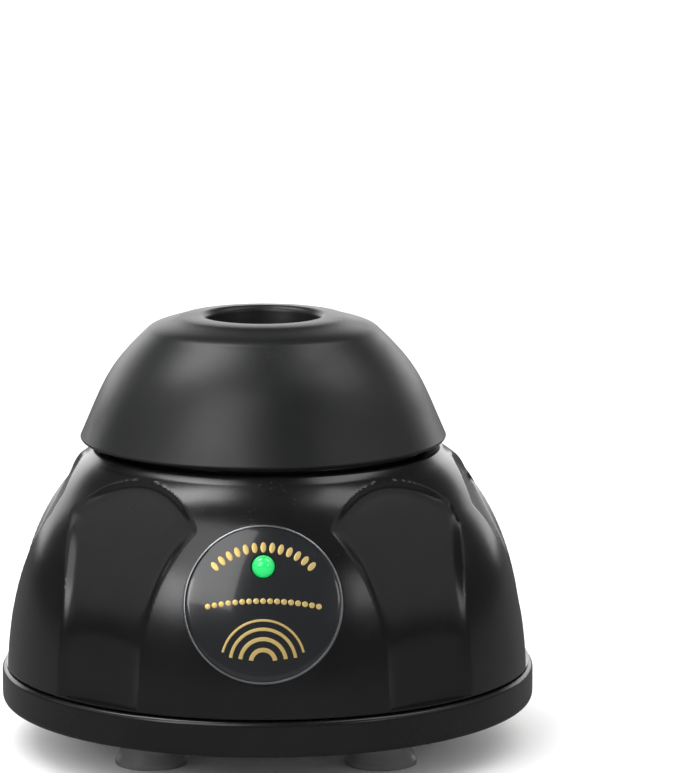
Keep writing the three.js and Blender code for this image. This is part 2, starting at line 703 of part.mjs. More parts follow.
// A coil spring along Z, its ends half a wire clear of what they press on.
function makeSpring() {
  const low = SPRING_SEAT + SPRING_WIRE + 0.05;
  const high = FLANGE_TOP - FLANGE_THICKNESS - SPRING_WIRE - 0.05;
  class Helix extends THREE.Curve {
    getPoint(t) {
      const [x, y] = onCircle(SPRING_RADIUS, t * SPRING_TURNS * 360);
      const share = t - SPRING_END_CLOSING * Math.sin(t * TAU); // the end coils lie closer together
      return new THREE.Vector3(x, y, low + (high - low) * share);
    }
  }
  const wire = new THREE.Shape(Array.from({ length: 5 }, (_, i) => {
    const [x, y] = onCircle(SPRING_WIRE, i * 72);
    return new THREE.Vector2(x, y);
  }));
  return new THREE.ExtrudeGeometry(wire, { steps: SPRING_TURNS * 8, extrudePath: new Helix() });
}

function addSprings() {
  guidePostPlaces.forEach(([x, y], i) => {
    addPiece(`press_spring_${i + 1}`, makeSpring(), "spring_steel").position.set(x, y, 0);
    const screw = addPiece(`guide_screw_${i + 1}`, panScrew(4.6, 2, 1.1, 9), "screw_steel");
    screw.position.set(x, y, POST_TOP);
  });
}

// ---------------------------------------------------------------- eccentric drive

// The set screw's hole along X, centred at a distance from the shaft.
function setScrewHole(x) {
  const hole = new THREE.CylinderGeometry(1.3, 1.3, 8, 12).rotateZ(Math.PI / 2);
  return solid(hole.translate(x, 0, SET_SCREW_Z));
}

function makeHub() {
  const boss = [
    [0, HUB_BOTTOM],
    [5.6, HUB_BOTTOM],
    [6, WEIGHT_BOTTOM],
    [6, HUB_TOP],
    [0, HUB_TOP],
  ];
  const pin = [
    [0, HUB_TOP - 1],
    [4.2, HUB_TOP - 1],
    [4.2, BEARING_BOTTOM],
    [PIN_RADIUS, BEARING_BOTTOM],
    [PIN_RADIUS, RING_GROOVE.low],
    [RING_GROOVE.radius, RING_GROOVE.low],
    [RING_GROOVE.radius, RING_GROOVE.high],
    [PIN_RADIUS, RING_GROOVE.high],
    [PIN_RADIUS - 0.3, PIN_TOP],
    [0, PIN_TOP],
  ];
  const body = turnedSolid(boss, 20).add(solid(turned(pin, 16).translate(CUP_OFFSET, 0, 0)));
  const shaftBore = barSolid(SHAFT_RADIUS + RUNNING_GAP, HUB_BOTTOM - 1, HUB_TOP - 0.4, 12);
  return without(body, shaftBore, setScrewHole(5.5));
}

// A flat weight, heavy on the side away from the crank pin.
function makeCounterweight() {
  const outline = new THREE.Shape();
  outline.absarc(0, 0, WEIGHT_RADIUS, Math.PI / 2 + 0.12, (3 * Math.PI) / 2 - 0.12);
  outline.lineTo(0, -9.4);
  outline.absarc(0, 0, 9.4, -Math.PI / 2, Math.PI / 2);
  outline.holes.push(new THREE.Path().absarc(0, 0, 6.05, 0, TAU));
  return solid(raised(outline, WEIGHT_BOTTOM, WEIGHT_TOP, 10)).subtract(setScrewHole(9));
}

function makeSetScrew() {
  const start = SHAFT_RADIUS + RUNNING_GAP;
  const screw = solid(new THREE.CylinderGeometry(1.22, 1.22, 7.2, 12).translate(0, start + 3.6, 0));
  const hexSocket = solid(new THREE.CylinderGeometry(0.65, 0.65, 3, 6).translate(0, start + 7.2, 0));
  return without(screw, hexSocket);
}

// A bearing race between two radii, with its ball groove in the wall at ballSide.
function makeRace(inner, outer, ballSide) {
  const mid = (BEARING_BOTTOM + BEARING_TOP) / 2;
  const chamfer = 0.3;
  const ballGap = BALL_RADIUS + RUNNING_GAP;
  const swing = THREE.MathUtils.radToDeg(Math.acos(Math.abs(BALL_ORBIT - ballSide) / ballGap));
  const groove = (middle) => arcPoints(BALL_ORBIT, mid, ballGap, middle + swing, middle - swing, 3);
  const low = BEARING_BOTTOM + chamfer;
  const high = BEARING_TOP - chamfer;
  const innerWall = ballSide === inner ? groove(0) : [[inner, high], [inner, low]];
  const outerWall = ballSide === outer ? groove(180) : [[outer, low], [outer, high]];
  return turned([
    [inner + chamfer, BEARING_BOTTOM],
    [outer - chamfer, BEARING_BOTTOM],
    ...outerWall,
    [outer - chamfer, BEARING_TOP],
    [inner + chamfer, BEARING_TOP],
    ...innerWall,
  ], 20);
}

function makeCage() {
  const mid = (BEARING_BOTTOM + BEARING_TOP) / 2;
  const ring = [
    [BALL_ORBIT - 0.4, mid - 1.1],
    [BALL_ORBIT + 0.4, mid - 1.1],
    [BALL_ORBIT + 0.4, mid + 1.1],
    [BALL_ORBIT - 0.4, mid + 1.1],
  ];
  const balls = Array.from({ length: 7 }, (_, i) => {
    const [x, y] = onCircle(BALL_ORBIT, (i * 360) / 7);
    return solid(new THREE.SphereGeometry(BALL_RADIUS, 6, 4).translate(x, y, mid));
  });
  return union(turnedSolid(ring, 14), ...balls);
}

function makeRetainingRing() {
  const outline = new THREE.Shape();
  outline.absarc(0, 0, 4.5, 0.45, TAU - 0.45);
  outline.absarc(0, 0, RING_GROOVE.radius + 0.05, TAU - 0.7, 0.7, true);
  return raised(outline, RING_GROOVE.low + 0.05, RING_GROOVE.high - 0.1, 9);
}

function addDrive() {
  const rotor = new THREE.Group();
  rotor.rotation.z = CRANK_AZIMUTH;
  vortexMixer.add(rotor);
  addPiece("motor_shaft", bar(SHAFT_RADIUS, MOTOR_BOTTOM - 0.5, HUB_TOP - 0.5, 12), "motor_steel");
  addPiece("eccentric_hub", makeHub(), "aluminium", rotor);
  addPiece("counterweight", makeCounterweight(), "screw_steel", rotor);
  const setScrew = addPiece("hub_set_screw", makeSetScrew(), "screw_steel", rotor);
  setScrew.rotation.z = -Math.PI / 2;
  setScrew.position.z = SET_SCREW_Z;
  const crank = new THREE.Group();
  crank.position.set(CUP_OFFSET * Math.cos(CRANK_AZIMUTH), CUP_OFFSET * Math.sin(CRANK_AZIMUTH), 0);
  vortexMixer.add(crank);
  addPiece("bearing_inner_race", makeRace(PIN_RADIUS + 0.08, 4.9, 4.9), "spring_steel", crank);
  addPiece("bearing_cage", makeCage(), "brass", crank);
  addPiece("bearing_outer_race", makeRace(7.3, BEARING_RADIUS, 7.3), "spring_steel", crank);
  addPiece("retaining_ring", makeRetainingRing(), "spring_steel", crank);
  return crank;
}

// ---------------------------------------------------------------- cup carrier and hood

const retainerScrewPlaces = [30, 150, 270].map((azimuth) => onCircle(RETAINER_SCREW_ORBIT, azimuth));

function makeCarrier() {
  const profile = [
    [SEAT_RADIUS, BEARING_BOTTOM],
    [CARRIER_RADIUS - 1.4, BEARING_BOTTOM],
    [CARRIER_RADIUS - 1.4, BEARING_BOTTOM + 1.6],
    [CARRIER_RADIUS, BEARING_BOTTOM + 1.6],
    [CARRIER_RADIUS, CARRIER_TOP],
    [8.2, CARRIER_TOP],
    [8.2, BEARING_TOP + 0.05],
    [SEAT_RADIUS, BEARING_TOP + 0.05],
  ];
  const holes = retainerScrewPlaces.map(([x, y]) => {
    return barSolid(1.1, BEARING_BOTTOM - 1, BEARING_BOTTOM + 5.5, 10, x, y);
  });
  return without(turnedSolid(profile, 26), ...holes);
}

function makeRetainer() {
  const { inner, outer, bottom, top } = RETAINER;
  const ring = [
    [inner, bottom],
    [outer, bottom],
    [outer, top],
    [inner, top],
  ];
  const sink = [
    [0, bottom - 0.1],
    [2.1, bottom - 0.1],
    [1.15, bottom + 1],
    [1.15, top + 1],
    [0, top + 1],
  ];
  const holes = retainerScrewPlaces.map(([x, y]) => solid(turned(sink, 10).translate(x, y, 0)));
  return without(turnedSolid(ring, 26), ...holes);
}

function makeRetainerScrew() {
  const screw = [
    [0, 0],
    [1.9, 0],
    [0.95, 1],
    [0.95, 6],
    [0, 6.4],
  ];
  const slot = solid(block([-1.5, -0.25, -0.5], [1.5, 0.25, 0.45]));
  return turnedSolid(screw, 10).subtract(slot);
}

// The hood is one rubber moulding: skirt, crest, cup and the grip that snaps over the carrier.
function makeHood() {
  const skirtFoot = [HOOD_FOOT.r, HOOD_FOOT.z];
  const shoulder = [HOOD_SHOULDER.r, HOOD_SHOULDER.z];
  const skirt = curvePoints(skirtFoot, [35.85, 81.16], [35.45, 84.23], shoulder, 6);
  const liningFoot = [HOOD_FOOT.r - HOOD_WALL - 0.2, HOOD_FOOT.z + 0.4];
  const lining = curvePoints([24.4, 90.4], [33.4, 82.9], [33.6, 80.2], liningFoot, 4);
  const crest = [
    ...arcPoints(24.2, 92.4, 2.1, 35, 80, 2),
    [19, 95.5],
    ...arcPoints(THROAT_RADIUS + 1.5, CREST_TOP - 1.5, 1.5, 80, 180, 3),
  ];
  const cup = [
    [11.6, 89],
    [9.8, 84.6],
    [7, 82.6],
    [4, CUP_FLOOR],
    [0, CUP_FLOOR],
  ];
  const grip = [
    [0, PIN_TOP + 0.6],
    [5.6, PIN_TOP + 0.6],
    [6.2, CARRIER_TOP + 0.05],
    [CARRIER_RADIUS + 0.12, CARRIER_TOP + 0.05],
    [CARRIER_RADIUS + 0.12, BEARING_BOTTOM + 1.5],
    [CARRIER_RADIUS - 1.2, BEARING_BOTTOM + 1.5],
    [CARRIER_RADIUS - 1.2, BEARING_BOTTOM],
    [CARRIER_RADIUS + 2.6, BEARING_BOTTOM],
    [CARRIER_RADIUS + 2.6, 79.6],
    [15.4, 84],
    [15.2, 89],
    [17.4, 91.4],
  ];
  const foot = arcPoints(HOOD_FOOT.r - 0.6, HOOD_BOTTOM + 0.7, 0.7, -80, 0, 2);
  const rim = [[HOOD_FOOT.r - HOOD_WALL - 0.1, HOOD_BOTTOM]];
  return turnedSolid([...grip, ...lining, ...rim, ...foot, ...skirt, ...crest, ...cup], DOME_SEGMENTS);
}

function addCup(crank) {
  addPiece("cup_carrier", makeCarrier(), "moulded_grey", crank);
  addPiece("bearing_retainer", makeRetainer(), "aluminium", crank);
  retainerScrewPlaces.forEach(([x, y], i) => {
    const screw = addPiece(`retainer_screw_${i + 1}`, makeRetainerScrew(), "screw_steel", crank);
    screw.position.set(x, y, RETAINER.bottom + 0.05);
  });
  addPiece("cup_hood", makeHood(), "hood_rubber", crank);
}

// ---------------------------------------------------------------- internal leads

// Each lead's finish and its route from one terminal to the other.
const LEADS = {
  jack_lead_red: {
    finish: "lead_red",
    route: [[-0.4, 40.4, 28], [-8, 36, 27], [-24, 31, 24], [-34, 17, 23], [-34, -2.7, 23.2]],
  },
  jack_lead_black: {
    finish: "lead_black",
    route: [[-3.7, 43, 28], [-12, 40, 26], [-28, 34, 24], [-38, 19, 23], [-38, -2.7, 23.2]],
  },
  motor_lead_red: {
    finish: "lead_red",
    route: [[-31.2, -9, 23], [-24, -3, 20], [-16, 0, 19], [-9.2, 0, 20.5]],
  },
  motor_lead_black: {
    finish: "lead_black",
    route: [[-31.2, -5.4, 23], [-24, 2, 18.5], [-8, 5, 16.6], [4, 5, 16.6], [8.5, 2.4, 20.4]],
  },
  lamp_lead: {
    finish: "lead_red",
    route: [[0, -44, 46.4], [-4, -41.5, 42], [-18, -38, 29], [-31, -24, 24], [-36, -11.7, 23.2]],
  },
  switch_lead: {
    finish: "lead_black",
    route: [[-14.2, -23, 17.3], [-20, -22, 17.6], [-29, -17, 20], [-33, -11.7, 23.2]],
  },
};

function addLeads() {
  const section = new THREE.Shape(Array.from({ length: 6 }, (_, i) => {
    const [x, y] = onCircle(LEAD_RADIUS, i * 60);
    return new THREE.Vector2(x, y);
  }));
  for (const [name, { finish, route }] of Object.entries(LEADS)) {
    const extrudePath = new THREE.CatmullRomCurve3(route.map((point) => new THREE.Vector3(...point)));
    addPiece(name, new THREE.ExtrudeGeometry(section, { steps: 12, extrudePath }), finish);
  }
}

addBase();
addPiece("upper_housing", makeUpperHousing(), "gloss_black");
addPiece("badge_plate", makeBadge(), "badge");
addPiece("status_lamp", makeLamp(), "lamp");
addElectrics();
addCarriage();
addSprings();
addCup(addDrive());
addLeads();

export default vortexMixer;
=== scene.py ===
"""Looks of a touch-operated vortex mixer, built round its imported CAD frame.

Sizes inside the classes are millimetres in the frame's own axes: +Z up, the badge facing -Y.
Meshes are scaled to metres when they become Blender objects.
"""

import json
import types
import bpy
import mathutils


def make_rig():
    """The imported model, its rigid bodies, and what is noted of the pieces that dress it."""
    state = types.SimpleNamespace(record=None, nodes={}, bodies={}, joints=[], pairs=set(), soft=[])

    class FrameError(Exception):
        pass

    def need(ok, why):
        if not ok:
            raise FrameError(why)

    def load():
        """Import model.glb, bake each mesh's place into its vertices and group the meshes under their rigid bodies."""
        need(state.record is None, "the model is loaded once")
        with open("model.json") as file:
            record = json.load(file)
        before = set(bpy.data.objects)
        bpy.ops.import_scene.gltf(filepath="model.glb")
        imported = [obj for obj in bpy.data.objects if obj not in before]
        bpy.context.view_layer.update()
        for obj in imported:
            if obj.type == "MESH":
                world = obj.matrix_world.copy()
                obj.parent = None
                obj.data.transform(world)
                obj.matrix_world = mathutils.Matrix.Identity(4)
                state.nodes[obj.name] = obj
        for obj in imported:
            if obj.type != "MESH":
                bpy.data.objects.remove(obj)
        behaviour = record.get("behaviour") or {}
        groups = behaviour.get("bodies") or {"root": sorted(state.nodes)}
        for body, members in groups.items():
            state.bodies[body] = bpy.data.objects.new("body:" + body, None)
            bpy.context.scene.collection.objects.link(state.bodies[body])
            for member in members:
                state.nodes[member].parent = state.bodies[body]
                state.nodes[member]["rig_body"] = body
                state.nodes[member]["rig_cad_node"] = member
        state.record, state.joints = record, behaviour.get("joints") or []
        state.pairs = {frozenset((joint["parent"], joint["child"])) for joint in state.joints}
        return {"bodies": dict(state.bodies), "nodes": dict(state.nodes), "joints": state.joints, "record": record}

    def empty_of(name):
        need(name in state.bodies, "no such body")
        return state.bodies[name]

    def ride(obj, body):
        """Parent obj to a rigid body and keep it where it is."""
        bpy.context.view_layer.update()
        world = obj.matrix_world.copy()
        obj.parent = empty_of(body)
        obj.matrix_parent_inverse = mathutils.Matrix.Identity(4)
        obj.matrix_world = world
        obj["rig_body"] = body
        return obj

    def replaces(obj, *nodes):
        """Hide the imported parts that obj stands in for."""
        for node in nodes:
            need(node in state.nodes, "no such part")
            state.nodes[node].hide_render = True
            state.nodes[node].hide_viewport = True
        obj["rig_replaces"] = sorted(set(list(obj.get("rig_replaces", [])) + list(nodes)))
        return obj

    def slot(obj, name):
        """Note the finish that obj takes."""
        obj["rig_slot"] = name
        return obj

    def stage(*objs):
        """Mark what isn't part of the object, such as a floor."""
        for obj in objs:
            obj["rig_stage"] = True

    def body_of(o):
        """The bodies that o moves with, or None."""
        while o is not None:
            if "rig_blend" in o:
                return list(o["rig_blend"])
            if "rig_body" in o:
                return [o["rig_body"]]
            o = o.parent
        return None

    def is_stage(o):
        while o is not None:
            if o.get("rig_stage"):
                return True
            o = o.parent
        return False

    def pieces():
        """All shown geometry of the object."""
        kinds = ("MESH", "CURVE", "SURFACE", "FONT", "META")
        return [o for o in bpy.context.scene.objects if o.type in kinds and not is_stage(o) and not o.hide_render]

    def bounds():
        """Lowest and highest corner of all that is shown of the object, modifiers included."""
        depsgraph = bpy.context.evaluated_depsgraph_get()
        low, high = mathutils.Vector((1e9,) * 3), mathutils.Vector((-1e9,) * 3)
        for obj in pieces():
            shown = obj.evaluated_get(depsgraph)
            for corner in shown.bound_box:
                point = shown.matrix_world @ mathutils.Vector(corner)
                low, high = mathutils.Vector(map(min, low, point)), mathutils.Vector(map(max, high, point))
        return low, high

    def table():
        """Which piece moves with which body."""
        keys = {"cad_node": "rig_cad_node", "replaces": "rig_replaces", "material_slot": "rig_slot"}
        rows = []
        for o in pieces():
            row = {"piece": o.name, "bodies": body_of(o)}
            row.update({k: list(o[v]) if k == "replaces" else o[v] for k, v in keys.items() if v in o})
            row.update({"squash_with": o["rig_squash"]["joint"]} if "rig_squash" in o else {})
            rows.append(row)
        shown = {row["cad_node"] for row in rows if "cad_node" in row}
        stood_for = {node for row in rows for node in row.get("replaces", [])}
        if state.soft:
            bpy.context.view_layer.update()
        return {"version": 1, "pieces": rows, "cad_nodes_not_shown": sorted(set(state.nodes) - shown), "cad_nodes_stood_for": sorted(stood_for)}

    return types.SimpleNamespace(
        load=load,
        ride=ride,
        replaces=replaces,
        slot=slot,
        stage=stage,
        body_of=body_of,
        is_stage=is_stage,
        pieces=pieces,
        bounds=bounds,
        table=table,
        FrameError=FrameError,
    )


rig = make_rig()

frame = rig.load()

import json
import logging
import math
from dataclasses import dataclass, field
from enum import Enum
from typing import Iterable, Sequence

import bpy
import numpy as np
from mathutils import Matrix, Vector

MM = 0.001
TAU = 2 * math.pi
SIZE_FILE = "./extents.json"
CAD_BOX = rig.bounds()
log = logging.getLogger("vortex_mixer")

Color = tuple[float, float, float]
Point = tuple[float, float, float]


# ------------------------------------------------------------------ names


def numbered(base: str, count: int) -> list[str]:
    """Names of a repeated CAD node.

    Args:
        base: name without its number.
        count: how many copies there are.

    Returns:
        The names base_1 to base_count.
    """
    return [f"{base}_{i + 1}" for i in range(count)]


class Body(Enum):
    """CAD bodies that pieces ride on."""

    HOUSING = "housing"
    CUP = "cup"


# ------------------------------------------------------------------ shader groups


class NodeDraft:
    """Small helper that adds and links nodes in one shader or geometry tree."""

    def __init__(self, tree: bpy.types.NodeTree) -> None:
        """Keeps the tree and empties it.

        Args:
            tree: node tree to fill.
        """
        self.tree = tree
        tree.nodes.clear()

    def add(self, kind: str, inputs: dict | None = None, **settings: object) -> bpy.types.Node:
        """Adds a node.

        Args:
            kind: Blender's name for the node type.
            inputs: values or sockets for inputs, by name or index.
            **settings: properties of the node itself.

        Returns:
            The new node.
        """
        node = self.tree.nodes.new(kind)
        for key, value in settings.items():
            setattr(node, key, value)
        for key, value in (inputs or {}).items():
            self.feed(node.inputs[key], value)
        return node

    def feed(self, socket: bpy.types.NodeSocket, value: object) -> None:
        """Links a socket to another, or sets its own value.

        Args:
            socket: input socket.
            value: output socket or plain value.
        """
        if isinstance(value, bpy.types.NodeSocket):
            self.tree.links.new(value, socket)
        else:
            socket.default_value = value

    def math(self, operation: str, first: object, second: object = 0.0) -> bpy.types.NodeSocket:
        """Adds a Math node.

        Args:
            operation: its operation.
            first: first input.
            second: second input.

        Returns:
            Its output.
        """
        return self.add("ShaderNodeMath", {0: first, 1: second}, operation=operation).outputs[0]

    def noise(self, place: object, scale: object, detail: float, **more: float) -> bpy.types.NodeSocket:
        """Adds a noise texture.

        Args:
            place: coordinates.
            scale: features per metre.
            detail: number of octaves.
            **more: other inputs, by name.

        Returns:
            Its value.
        """
        inputs = {"Vector": place, "Scale": scale, "Detail": detail, **more}
        return self.add("ShaderNodeTexNoise", inputs).outputs["Fac"]

    def ramp(self, value: object, low: float, high: float, start: float,
             end: float) -> bpy.types.NodeSocket:
        """Maps a value from one range to another, smoothly and within its ends.

        Args:
            value: value to map.
            low: input that gives start.
            high: input that gives end.
            start: output at low.
            end: output at high.

        Returns:
            The mapped value.
        """
        inputs = {"Value": value, "From Min": low, "From Max": high, "To Min": start, "To Max": end}
        node = self.add("ShaderNodeMapRange", inputs, interpolation_type="SMOOTHSTEP")
        return node.outputs["Result"]

    def blend_color(self, share: object, first: object, second: object) -> bpy.types.NodeSocket:
        """Mixes two colours.

        Args:
            share: how much of the second colour shows.
            first: colour at 0.
            second: colour at 1.

        Returns:
            The mixed colour.
        """
        node = self.tree.nodes.new("ShaderNodeMix")
        node.data_type = "RGBA"
        self.feed(node.inputs[0], share)
        self.feed(node.inputs[6], first)
        self.feed(node.inputs[7], second)
        return node.outputs[2]


def rgba(color: Color) -> tuple[float, float, float, float]:
    """A colour with full alpha."""
    return (*color, 1.0)


def new_group(name: str, inputs: dict[str, float], outputs: Iterable[str]) -> tuple[NodeDraft, dict, dict]:
    """Starts a shader group with float sockets and a Vector input for object coordinates.

    Args:
        name: the group's name.
        inputs: float inputs and their defaults.
        outputs: names of float outputs.

    Returns:
        The draft, the group's input sockets and its output sockets, by name.
    """
    tree = bpy.data.node_groups.new(name, "ShaderNodeTree")
    tree.interface.new_socket("Vector", in_out="INPUT", socket_type="NodeSocketVector")
    for label, value in inputs.items():
        socket = tree.interface.new_socket(label, in_out="INPUT", socket_type="NodeSocketFloat")
        socket.default_value = value
    for label in outputs:
        tree.interface.new_socket(label, in_out="OUTPUT", socket_type="NodeSocketFloat")
    draft = NodeDraft(tree)
    source = draft.add("NodeGroupInput")
    sink = draft.add("NodeGroupOutput")
    return draft, {s.name: s for s in source.outputs}, {s.name: s for s in sink.inputs}


class ShaderGroups:
    """The effects that several finishes share, each built once."""

    def __init__(self) -> None:
        """Builds the groups."""
        self.grain = self._grain()
        self.handling = self._handling()
        self.brushing = self._brushing()

    @staticmethod
    def _grain() -> bpy.types.NodeTree:
        """Moulded or cast surface: fine relief and slow mottling.

        Returns:
            A group with outputs Height and Mottle.
        """
        inputs = {"Grain Scale": 3000.0, "Mottle Scale": 60.0}
        draft, given, out = new_group("moulded_grain", inputs, ["Height", "Mottle"])
        place = given["Vector"]
        fine = draft.noise(place, given["Grain Scale"], 3.0)
        peel = draft.noise(place, draft.math("MULTIPLY", given["Grain Scale"], 0.12), 2.0)
        slow = draft.noise(place, given["Mottle Scale"], 5.0, Roughness=0.6)
        fine_share = draft.math("MULTIPLY", fine, 0.6)
        peel_share = draft.math("MULTIPLY", peel, 0.4)
        draft.feed(out["Height"], draft.math("ADD", fine_share, peel_share))
        draft.feed(out["Mottle"], draft.ramp(slow, 0.3, 0.7, 0.0, 1.0))
        return draft.tree

    @staticmethod
    def _handling() -> bpy.types.NodeTree:
        """Traces of use: smudges where it is held, settled dust specks and hairline scratches.

        Returns:
            A group with outputs Smudge, Dust and Scratch.
        """
        inputs = {"Smudge Scale": 28.0, "Dust Amount": 0.5, "Scratch Amount": 0.5}
        draft, given, out = new_group("handling_marks", inputs, ["Smudge", "Dust", "Scratch"])
        place = given["Vector"]
        warp = draft.noise(place, given["Smudge Scale"], 6.0, Roughness=0.65, Distortion=1.2)
        draft.feed(out["Smudge"], draft.ramp(warp, 0.46, 0.72, 0.0, 1.0))

        cells = draft.add("ShaderNodeTexVoronoi", {"Vector": place, "Scale": 900.0, "Randomness": 1.0})
        patch = draft.noise(place, 130.0, 3.0)
        speck = draft.ramp(cells.outputs["Distance"], 0.09, 0.16, 1.0, 0.0)
        normal = draft.add("ShaderNodeNewGeometry").outputs["Normal"]
        upward = draft.add("ShaderNodeSeparateXYZ", {0: normal})
        settled = draft.ramp(upward.outputs["Z"], 0.05, 0.9, 0.0, 1.0)
        lying = draft.math("MULTIPLY", settled, draft.ramp(patch, 0.5, 0.66, 0.0, 1.0))
        dust = draft.math("MULTIPLY", draft.math("MULTIPLY", speck, lying), given["Dust Amount"])
        draft.feed(out["Dust"], dust)

        stretched = draft.add("ShaderNodeMapping", {
            "Vector": place, "Rotation": (0.35, 0.2, 0.9), "Scale": (40.0, 900.0, 260.0)})
        lines = draft.noise(stretched.outputs[0], 1.0, 2.0)
        scratch = draft.ramp(lines, 0.735, 0.76, 0.0, 1.0)
        draft.feed(out["Scratch"], draft.math("MULTIPLY", scratch, given["Scratch Amount"]))
        return draft.tree

    @staticmethod
    def _brushing() -> bpy.types.NodeTree:
        """Turned or drawn metal: fine marks round the Z axis.

        Returns:
            A group with outputs Height and Streak.
        """
        draft, given, out = new_group("metal_brushing", {"Mark Scale": 2500.0}, ["Height", "Streak"])
        place = given["Vector"]
        parts = draft.add("ShaderNodeSeparateXYZ", {0: place})
        flat = {0: place, 1: (1.0, 1.0, 0.0)}
        across = draft.add("ShaderNodeVectorMath", flat, operation="MULTIPLY")
        radius = draft.add("ShaderNodeVectorMath", {0: across.outputs[0]}, operation="LENGTH")
        around = draft.add("ShaderNodeCombineXYZ", {0: radius.outputs["Value"], 1: parts.outputs["Z"]})
        marks = draft.noise(around.outputs[0], given["Mark Scale"], 3.0)
        stain = draft.noise(place, 120.0, 4.0)
        draft.feed(out["Height"], marks)
        draft.feed(out["Streak"], draft.math("MULTIPLY", marks, stain))
        return draft.tree


# ------------------------------------------------------------------ finishes


@dataclass(frozen=True)
class Finish:
    """A material: its colour, gloss and the detail laid over it.

    Attributes:
        name: the material's name.
        slot: material slot of the record that it belongs to.
        color: main colour.
        second: colour that mottling brings in.
        roughness: roughness of the clean surface.
        metallic: 1 for bare metal.
        coat: weight of a clear coat.
        grain_scale: size of the fine relief, in features per metre.
        relief: depth of the fine relief in metres.
        smudge: how much smudges raise the roughness.
        dust: how much dust lies on upward faces.
        scratch: how strongly hairline scratches show.
        specular: specular level.
        glow: emission strength.
    """

    name: str
    slot: str
    color: Color
    second: Color
    roughness: float
    metallic: float = 0.0
    coat: float = 0.0
    grain_scale: float = 3000.0
    relief: float = 0.00001
    smudge: float = 0.08
    dust: float = 0.3
    scratch: float = 0.3
    specular: float = 0.5
    glow: float = 0.0

    def material(self, groups: ShaderGroups) -> bpy.types.Material:
        """Builds the material.

        Args:
            groups: shared shader groups.

        Returns:
            The finished material.
        """
        material = bpy.data.materials.new(self.name)
        material.use_nodes = True
        draft = NodeDraft(material.node_tree)
        place = draft.add("ShaderNodeTexCoord").outputs["Object"]
        grain = draft.add("ShaderNodeGroup", node_tree=groups.grain)
        draft.feed(grain.inputs["Vector"], place)
        grain.inputs["Grain Scale"].default_value = self.grain_scale
        marks = draft.add("ShaderNodeGroup", node_tree=groups.handling)
        draft.feed(marks.inputs["Vector"], place)
        marks.inputs["Dust Amount"].default_value = self.dust
        marks.inputs["Scratch Amount"].default_value = self.scratch
        color = draft.blend_color(grain.outputs["Mottle"], rgba(self.color), rgba(self.second))
        color = draft.blend_color(marks.outputs["Dust"], color, rgba((0.32, 0.31, 0.29)))
        rough = draft.math("MULTIPLY_ADD", marks.outputs["Smudge"], self.smudge)
        rough.node.inputs[2].default_value = self.roughness
        for mark, roughening in (("Dust", 0.4), ("Scratch", 0.12)):
            rough = draft.math("ADD", rough, draft.math("MULTIPLY", marks.outputs[mark], roughening))
        height = grain.outputs["Height"]
        if self.metallic > 0.5:
            brushing = draft.add("ShaderNodeGroup", node_tree=groups.brushing)
            draft.feed(brushing.inputs["Vector"], place)
            rough = draft.math("ADD", rough, draft.math("MULTIPLY", brushing.outputs["Streak"], 0.25))
            height = draft.math("ADD", height, brushing.outputs["Height"])
        height = draft.math("SUBTRACT", height, draft.math("MULTIPLY", marks.outputs["Scratch"], 0.8))
        bump = draft.add("ShaderNodeBump", {"Height": height, "Strength": 1.0, "Distance": self.relief})
        shader = draft.add("ShaderNodeBsdfPrincipled", {
            "Base Color": color, "Roughness": rough, "Normal": bump.outputs["Normal"],
            "Metallic": self.metallic, "Coat Weight": self.coat, "Coat Roughness": 0.06,
            "Specular IOR Level": self.specular})
        if self.glow:
            shader.inputs["Emission Color"].default_value = rgba(self.color)
            shader.inputs["Emission Strength"].default_value = self.glow
        draft.add("ShaderNodeOutputMaterial", {"Surface": shader.outputs["BSDF"]})
        return material


